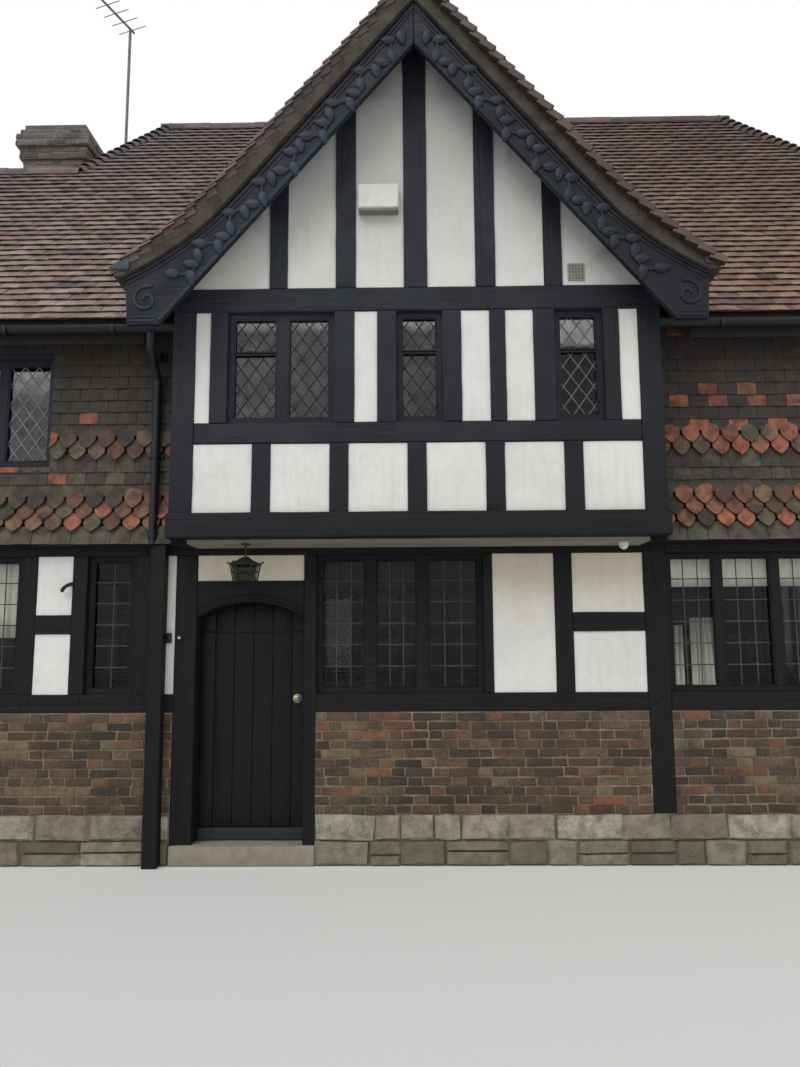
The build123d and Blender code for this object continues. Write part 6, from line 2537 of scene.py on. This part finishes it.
@dataclass
class FrontDoor:
    """The planked leaf and what belongs to the doorway."""

    planks: int = 6
    left: float = -1.81
    right: float = -0.87
    spring: float = 1.9
    rise: float = 0.12
    half: float = 0.43
    middle: float = -1.34

    @property
    def plank_width(self) -> float:
        """The width of one plank."""
        return (self.right - self.left) / self.planks

    def leaf(self) -> None:
        """Cuts the leaf into planks with rounded joints."""
        made = []
        joint, end = 0.0015, 0.001
        for index in range(self.planks):
            plank = copy_of("door_leaf", "plank")
            low, high = self.left + self.plank_width * index, self.left + self.plank_width * (index + 1)
            with editing(plank):
                first, last = low + joint * (index > 0), high - joint * (index < self.planks - 1)
                for place, way in ((first, -1), (last, 1)):
                    if self.left + end < place < self.right - end:
                        cut_across((place, 0, 0), (way, 0, 0), clear_outer=True, use_fill=True)
            sliced(plank, 2, 0.35)
            made.append(bevelled(plank, 0.004, 2))
        piece = joined("door_planks", made)
        settle(piece, [DOOR_WOOD], Body.DOOR, ["door_leaf"])

    def nails(self) -> None:
        """Drives rows of nail heads, and adds a ledge and a round plate behind the knob."""
        bpy.ops.mesh.primitive_uv_sphere_add(segments=8, ring_count=5, radius=0.007, location=(0, 0, 0))
        nail = baked(bpy.context.object)
        with editing(nail):
            cut_across((0, 0.001, 0), (0, 1, 0), clear_outer=True, use_fill=True)
        stock = Stock(nail)
        laid = Laid()
        for index in range(self.planks):
            for z in (0.45, 1.6):
                for shift in (-0.035, 0.035):
                    u = self.left + self.plank_width * (index + 0.5) + shift
                    laid.put(stock, FRONT_WALL.upright(u, z, -0.18))
        ledge = bevelled(block("ledge", (-1.755, -2.697, 1.782), (-0.925, -2.686, 1.8)), 0.005, 2)
        settle(joined("door_nails", [laid.build("nails"), ledge]), [DOOR_WOOD], Body.DOOR)
        plate = drum("knob_plate", (-0.98, -2.6915, 1.25), 0.036, 0.005, 24, LAID_TO_FRONT)
        with editing(plate):
            pick(plate, "FACE", looks_front)
            bpy.ops.mesh.inset(thickness=0.008, depth=0.002)
        settle(plate, [BRASS], Body.DOOR)

    def arch_lines(self) -> None:
        """Runs two chamfer lines round the head of the doorway."""
        radius = (self.half**2 + self.rise**2) / (2 * self.rise)
        centre = self.spring + self.rise - radius
        made = []
        for extra in (0.022, 0.058):
            line = radius + extra
            reach = math.asin((self.half - 0.004) / line)
            points = [
                (self.middle + line * math.sin(angle), FRONT - 0.001, centre + line * math.cos(angle))
                for angle in np.linspace(-reach, reach, 14)
            ]
            made.append(rod("arch_line", points, 0.006))
        settle(joined("door_arch_lines", made), [TIMBER_FLAT])

    def fittings(self) -> None:
        """Builds the bell push, the small box on the white strip and the hook."""
        x, z = -1.9, 1.74
        bell = drum("bell_push", (x, FRONT - 0.006, z), 0.024, 0.02, 20, LAID_TO_FRONT)
        with editing(bell):
            pick(bell, "FACE", looks_front)
            bpy.ops.mesh.inset(thickness=0.012, depth=0.003)
            bpy.ops.mesh.inset(thickness=0.003, depth=-0.003)
        settle(bell, [IRON])
        button = drum("bell_button", (x, FRONT - 0.016, z), 0.009, 0.012, 16, LAID_TO_FRONT)
        settle(bevelled(button, 0.003, 2), [PLASTIC])
        box = block("key_box", (-2.0, FRONT - 0.024, 1.7), (-1.965, FRONT + 0.016, 1.78))
        settle(bevelled(box, 0.006, 2), [IRON])
        hook = ((-2.77, 0.014, 2.18), (-2.8, -0.03, 2.17), (-2.84, -0.05, 2.13), (-2.85, -0.02, 2.12))
        settle(rod("wall_hook", [(x, FRONT + y, z) for x, y, z in hook], 0.015), [IRON])

    def step(self) -> None:
        """Wears the stone step."""
        piece = copy_of("door_step", "door_step_stone")
        sliced(piece, 0, 0.12)
        sliced(piece, 1, 0.1)
        bevelled(piece, 0.014, 2)
        uneven(piece, 0.008, 0.25)
        settle(piece, [DOORSTEP], stands_for=["door_step"])

    def build(self) -> None:
        """Builds the doorway."""
        self.leaf()
        self.nails()
        self.arch_lines()
        self.fittings()
        self.step()
        paint("door_knob", BRASS)
        paint("door_weather_bar", BAR_PAINT)
        paint("door_hinge_straps", IRON)
        paint("door_hinge_pins", IRON)


@dataclass
class Bargeboards:
    """The two carved boards of the bay's gable."""

    apex: float = 6.67985
    low_apex: float = 6.33985
    bend_x: float = 1.35
    tip: Span = (2.2, 4.44)
    foot: tuple[float, float, float] = (1.94, 2.175, 4.07)
    face: float = -3.57
    vine_length: float = 2.74
    vine_step: float = 0.045
    leaf_step: float = 0.085
    leaf_radius: float = 0.064
    sway: float = 0.05
    wave_length: float = 0.38

    def top_edge(self, drop: float) -> list[Span]:
        """A line along the board's top edge.

        Args:
            drop: the distance below the edge, square to it.

        Returns:
            Points from the apex to the tip, across and up.
        """
        start = Vector((self.bend_x, self.apex - BAY_RISE * self.bend_x))
        bend, radius, centre = sprung(start, Vector(self.tip))
        shares, reach = np.linspace(0.0, 1.0, 9), radius + drop
        points = []
        for share in shares:
            x = self.bend_x * share
            z = self.apex - BAY_RISE * x - drop * math.cos(BAY_STEEP)
            points.append((x + drop * math.sin(BAY_STEEP), z))
        for share in shares[1:]:
            angle = BAY_STEEP + 2 * bend * share
            points.append((centre.x + reach * math.sin(angle), centre.y - reach * math.cos(angle)))
        return [(max(0.004, x), z) for x, z in points]

    def line(
        self, side: int, points: Sequence[Span], radius: float, smooth: bool = True, lift: float = 0.0,
    ) -> Object:
        """Runs a carved line over the board's face."""
        return rod("line", [(side * x, self.face - lift, z) for x, z in points], radius, smooth=smooth)

    def flare(self, x: float) -> float:
        """How far the board's middle rises off the straight slope at a place across it."""
        edge = self.top_edge(0.0)
        top = float(np.interp(x, [point[0] for point in edge], [point[1] for point in edge]))
        return 0.5 * max(0.0, top - (self.apex - BAY_RISE * x))

    def leaf(self) -> Stock:
        """Models one carved leaf lying on the board, its tip along X.

        Returns:
            The leaf, ready to be copied.
        """
        radius = self.leaf_radius
        bpy.ops.mesh.primitive_circle_add(
            vertices=10, radius=radius, fill_type="NGON", rotation=LAID_TO_FRONT,
        )
        leaf = baked(bpy.context.object)
        with editing(leaf):
            bpy.ops.mesh.select_all(action="SELECT")
            bpy.ops.mesh.extrude_region_move(TRANSFORM_OT_translate={"value": (0, -0.013, 0)})
            bpy.ops.mesh.inset(thickness=0.016, depth=0.008)
            turned_out()
        for point in leaf.data.vertices:
            point.co.z *= 0.62 * (1.0 - 0.5 * max(0.0, point.co.x) / radius)
            point.co.x += 0.03
        return Stock(leaf)

    def rolls(self, side: int) -> list[Object]:
        """Runs the rolls along the edges of one board and across its foot.

        Args:
            side: -1 for the left board, 1 for the right one.

        Returns:
            The rolls.
        """
        inner, outer, low = self.foot
        foot = (inner + 0.02, outer - 0.02)
        return [
            self.line(side, self.top_edge(0.016), 0.013),
            self.line(side, self.top_edge(0.05), 0.009),
            self.line(side, [(0.01, self.low_apex + 0.036), (inner, low + 0.036)], 0.007, False),
            self.line(side, [(0.01, self.low_apex + 0.012), (inner - 0.01, low + 0.03)], 0.009, False),
            self.line(side, [(x, low + 0.03) for x in foot], 0.008, False),
            self.line(side, [(x, low + 0.06) for x in foot], 0.006, False),
        ]

    @property
    def way(self) -> Vector:
        """The direction down the straight part of the board, across and up."""
        return Vector((1.0, -BAY_RISE)).normalized()

    def on_vine(self, along: float, beside: float = 0.0) -> Span:
        """A place on the vine, across and up.

        Args:
            along: how far down the board.
            beside: how far off the vine's waves.

        Returns:
            The place.
        """
        way = self.way
        square = Vector((-way.y, way.x))
        start = Vector((0.06, (self.apex + self.low_apex) / 2 - BAY_RISE * 0.06 - 0.012))
        wave = self.sway * math.sin(2 * math.pi * along / self.wave_length)
        spot = start + way * along + square * (wave + beside)
        return (spot.x, spot.y + self.flare(spot.x))

    def leaves(self, side: int, leaf: Stock) -> Object:
        """Lays the leaves of one board's vine, by turns above and below it.

        Args:
            side: -1 for the left board, 1 for the right one.
            leaf: the leaf to copy.

        Returns:
            The leaves.
        """
        laid = Laid()
        slope, spread = math.atan2(self.way.y, self.way.x), 0.95
        for index in range(int(self.vine_length / self.leaf_step)):
            up = 1 if index % 2 else -1
            x, z = self.on_vine((index + 0.5) * self.leaf_step, up * 0.008)
            angle = slope + up * spread
            if side < 0:
                angle = math.pi - angle
            place = Matrix.Translation((side * x, self.face + 0.001, z))
            laid.put(leaf, place @ Matrix.Rotation(-angle, 4, "Y"))
        return laid.build("leaves")

    def spiral(self, side: int) -> Object:
        """Winds the spiral of one board's foot.

        Args:
            side: -1 for the left board, 1 for the right one.

        Returns:
            The spiral.
        """
        middle = Vector((2.035, 4.265))
        points = []
        for index in range(16):
            reach, angle = 0.016 + 0.0065 * index, index * 0.55
            points.append((middle.x + reach * math.cos(angle), middle.y + reach * math.sin(angle)))
        return self.line(side, points, 0.013)

    def build(self) -> None:
        """Builds both boards with their rolls, their vine and their spiral."""
        leaf = self.leaf()
        steps = range(int(self.vine_length / self.vine_step))
        for side, word in ((-1, "left"), (1, "right")):
            board = copy_of("bargeboard_" + word, "barge_" + word)
            bevelled(board, 0.008, 2)
            settle(board, [SUNK], stands_for=["bargeboard_" + word])
            lines = self.rolls(side)
            vine = [self.on_vine(index * self.vine_step) for index in steps]
            lines.append(self.line(side, vine, 0.011, lift=0.002))
            lines.append(self.spiral(side))
            carving = joined("barge_carving_" + word, [self.leaves(side, leaf), *lines])
            settle(carving, [CARVED], angle=50)


@dataclass
class Ironwork:
    """Gutters, downpipe, lantern, alarm box, vent, camera and aerial."""

    lantern_at: tuple[float, float] = (-1.325, -3.17)

    def rainwater(self) -> None:
        """Adds gutter brackets and pipe collars to the CAD's gutters and pipe."""
        bracket = block("bracket", (-0.012, -0.062, -0.07), (0.012, 0.05, 0.0))
        with editing(bracket):
            pick(bracket, "EDGE", lambda middle, way: abs(way.x) > 0.9 and middle.z < -0.05)
            bpy.ops.mesh.bevel(offset=0.04, segments=3)
        stock = Stock(bracket)
        laid = Laid()
        runs = (
            (FRONT_WALL, WING_LEFT + 0.2, -BAY_HALF - 0.5),
            (FRONT_WALL, BAY_HALF + 0.5, MAIN_RIGHT - 0.1),
            (REAR_WALL, -MAIN_RIGHT + 0.2, -MAIN_LEFT - 0.1),
            (WING_REAR_WALL, -MAIN_LEFT + 0.2, -WING_LEFT - 0.1),
        )
        out, height, spacing = EAVES + 0.056, 4.207, 0.8
        for wall, first, last in runs:
            count = max(2, round((last - first) / spacing))
            for index in range(count + 1):
                laid.put(stock, wall.upright(first + (last - first) * index / count, height, out))
        settle(laid.build("gutter_brackets"), [PIPE_PAINT])
        collars = []
        x, y = -2.112, -2.97
        for z in (4.02, 3.2, 2.56):
            collar = drum("collar", (x, y, z), 0.041, 0.06, 20)
            with editing(collar):
                pick(collar, "FACE", lies_level)
                bpy.ops.mesh.inset(thickness=0.006)
            ear = block("ear", (x - 0.063, y + 0.025, z - 0.016), (x + 0.063, y + 0.075, z + 0.016))
            collars.extend([bevelled(collar, 0.004), bevelled(ear, 0.004)])
        settle(joined("pipe_collars", collars), [PIPE_PAINT])
        paint("gutters", PIPE_PAINT)
        paint("downpipe", PIPE_PAINT)

    def lantern(self) -> None:
        """Builds the six-sided lantern under the jetty."""
        x, y = self.lantern_at
        made = [
            cone("foot", (x, y, 2.158), 0.07, 0.098, 0.016),
            cone("crown", (x, y, 2.316), 0.134, 0.05, 0.036),
            cone("lid", (x, y, 2.292), 0.126, 0.134, 0.012),
            cone("cap", (x, y, 2.342), 0.056, 0.03, 0.018),
            drum("stem", (x, y, 2.4), 0.008, 0.11, 10),
            drum("rose", (x, y, 2.45), 0.035, 0.01, 20),
        ]

        def corner(number: int, radius: float, z: float) -> tuple[float, float, float]:
            """A place over one of the lantern's six corners."""
            angle = math.radians(60 * number)
            return (x + radius * math.cos(angle), y + radius * math.sin(angle), z)

        curl = ((0.11, 2.306), (0.134, 2.297), (0.14, 2.315))
        for number in range(6):
            bar = [corner(number, 0.092, 2.166), corner(number, 0.116, 2.288)]
            made.append(rod("bar", bar, 0.0055, smooth=False))
            made.append(rod("tip", [corner(number, radius, z) for radius, z in curl], 0.006))
        ring = [corner(number % 6, 0.105, 2.236) for number in range(7)]
        made.append(rod("ring", ring, 0.004, smooth=False))
        settle(joined("lantern_iron", made), [IRON], stands_for=["lantern"])
        glass = cone("lantern_panes", (x, y, 2.227), 0.088, 0.111, 0.12)
        with editing(glass):
            pick(glass, "FACE", lambda middle, normal: abs(normal.z) < 0.9)
            bpy.ops.mesh.inset(thickness=0.004, use_individual=True)
        settle(glass, [LAMP_GLASS])

    def grille(self) -> Object:
        """Models the air vent with a grid of sunk holes.

        Returns:
            The vent.
        """
        left, foot, width, height, cells = 1.2, 4.512, 0.13, 0.14, 11
        vent = block("vent_grille", (left, -3.267, foot), (1.33, -3.252, 4.652))

        def is_hole(middle: Vector, normal: Vector) -> bool:
            """Picks every second cell of every second row of the front."""
            column = int((middle.x - left) / (width / cells))
            row = int((middle.z - foot) / (height / cells))
            return looks_front(middle, normal) and column % 2 == 1 and row % 2 == 1

        with editing(vent):
            pick(vent, "FACE", looks_front)
            bpy.ops.mesh.subdivide(number_cuts=cells - 1)
            pick(vent, "FACE", is_hole)
            bpy.ops.mesh.extrude_region_move(TRANSFORM_OT_translate={"value": (0, 0.009, 0)})
        return vent

    def small_things(self) -> None:
        """Builds the bare alarm box, the air vent and the camera, and paints the aerial."""
        box = block("alarm_cover", (-0.45, -3.348, 5.1), (-0.13, -3.262, 5.3))
        with editing(box):
            pick(box, "EDGE", lambda middle, way: abs(way.y) > 0.9)
            bpy.ops.mesh.bevel(offset=0.013, segments=3)
            pick(box, "FACE", looks_front)
            raised(0.01, 0.006)
            bpy.ops.mesh.inset(thickness=0.022, depth=-0.004)
        settle(bevelled(box, 0.003, 2), [PLASTIC], stands_for=["alarm_box"])
        lip = bevelled(block("alarm_base", (-0.446, -3.346, 5.078), (-0.134, -3.262, 5.104)), 0.006, 2)
        settle(lip, [SHADED_PLASTIC])
        settle(self.grille(), [VENT_CLAY], stands_for=["wall_vent"])
        x, y = 1.59, -3.12
        bpy.ops.mesh.primitive_uv_sphere_add(
            segments=24, ring_count=12, radius=0.036, location=(x, y, 2.432),
        )
        dome = baked(bpy.context.object)
        with editing(dome):
            cut_across((0, 0, 2.436), (0, 0, 1), clear_outer=True, use_fill=True)
        collar = bevelled(drum("camera_collar", (x, y, 2.445), 0.04, 0.02, 24), 0.004)
        settle(joined("camera_dome", [dome, collar]), [PLASTIC], stands_for=["security_camera"])
        paint("tv_aerial", AERIAL_METAL)

    def build(self) -> None:
        """Builds the fittings."""
        self.rainwater()
        self.lantern()
        self.small_things()


@dataclass
class Studio:
    """The camera at the photograph's viewing angle, a pale floor, lamps and a white surround."""

    place: tuple[float, float, float] = (-0.04, -9.57, 1.683)
    pitch: float = 7.5036
    yaw: float = -0.854
    roll: float = -0.3195
    lens: float = 28.285

    def camera(self) -> None:
        """Sets the camera."""
        pitch, yaw, roll = (math.radians(a) for a in (self.pitch, self.yaw, self.roll))
        ahead = Vector((math.cos(pitch) * math.sin(yaw), math.cos(pitch) * math.cos(yaw), math.sin(pitch)))
        level = Vector((math.cos(yaw), -math.sin(yaw), 0))
        above = level.cross(ahead)
        right = math.cos(roll) * level + math.sin(roll) * above
        up = -math.sin(roll) * level + math.cos(roll) * above
        data = bpy.data.cameras.new("camera")
        data.lens = self.lens
        data.sensor_width = 36.0
        data.clip_end = 200.0
        camera = bpy.data.objects.new("camera", data)
        camera.matrix_world = axes_matrix(right, up, -ahead, Vector(self.place))
        bpy.context.scene.collection.objects.link(camera)
        bpy.context.scene.camera = camera

    def lamp(
        self, name: str, place: Sequence[float], aim: Sequence[float], spread: float, power: float,
    ) -> None:
        """Hangs one large, soft and far lamp, so that the floor is lit evenly.

        Args:
            name: its name.
            place: where it hangs.
            aim: the point it shines at.
            spread: how wide it looks, in degrees.
            power: its strength.
        """
        data = bpy.data.lights.new(name, "SUN")
        data.angle = math.radians(spread)
        data.energy = power
        lamp = bpy.data.objects.new(name, data)
        lamp.location = place
        lamp.rotation_euler = (Vector(aim) - Vector(place)).to_track_quat("-Z", "Y").to_euler()
        bpy.context.scene.collection.objects.link(lamp)

    def surround(self) -> None:
        """Makes the world white to the camera and to reflections, and softer as light."""
        world = bpy.data.worlds.new("surround")
        bpy.context.scene.world = world
        world.use_nodes = True
        world.node_tree.nodes.clear()
        nodes = Nodes(world.node_tree)
        rays = nodes.add("LightPath")
        seen = nodes.math("MAXIMUM", rays.outputs["Is Camera Ray"], rays.outputs["Is Glossy Ray"])
        seen = nodes.math("MAXIMUM", seen, rays.outputs["Is Transmission Ray"])
        strength = nodes.remap(seen, 0.0, 1.0, 0.45, 1.0)
        light = nodes.add("Background", {"Color": (1.0, 1.0, 1.0, 1.0), "Strength": strength})
        nodes.add("OutputWorld", {"Surface": light.outputs[0]})

    def floor(self) -> None:
        """Lays the pale floor."""
        bpy.ops.mesh.primitive_plane_add(size=240, location=(0, 0, -0.002))
        floor = bpy.context.object
        floor.name = "studio_floor"
        baked(floor)
        material = bpy.data.materials.new("studio_floor")
        material.use_nodes = True
        shader = material.node_tree.nodes["Principled BSDF"]
        shader.inputs["Base Color"].default_value = srgb(226, 226, 224)
        shader.inputs["Roughness"].default_value = 0.9
        floor.data.materials.append(material)

    def build(self) -> None:
        """Sets the scene."""
        bpy.context.scene.view_settings.view_transform = "Standard"
        self.camera()
        self.surround()
        self.floor()
        self.lamp("sky_lamp", (-6.0, -11.5, 18.0), (0.0, 0.0, 3.5), 45.0, 1.65)
        self.lamp("fill_lamp", (13.0, -9.0, 9.0), (0.0, 0.0, 3.5), 34.0, 0.35)
        self.lamp("rear_lamp", (4.0, 15.0, 12.0), (0.0, 0.0, 4.0), 60.0, 0.6)


def main() -> None:
    """Builds the house piece by piece."""
    logging.basicConfig(level=logging.INFO, format="%(message)s")
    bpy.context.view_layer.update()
    Effects().build()
    kinds = (
        Studio, RoofTiles, HungTiles, Brickwork, TimberFrame, Windows, FrontDoor, Bargeboards, Ironwork,
    )
    for builder in [kind() for kind in kinds]:
        builder.build()
        LOG.info("%s done", type(builder).__name__)
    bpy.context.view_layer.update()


if __name__ == "__main__":
    main()
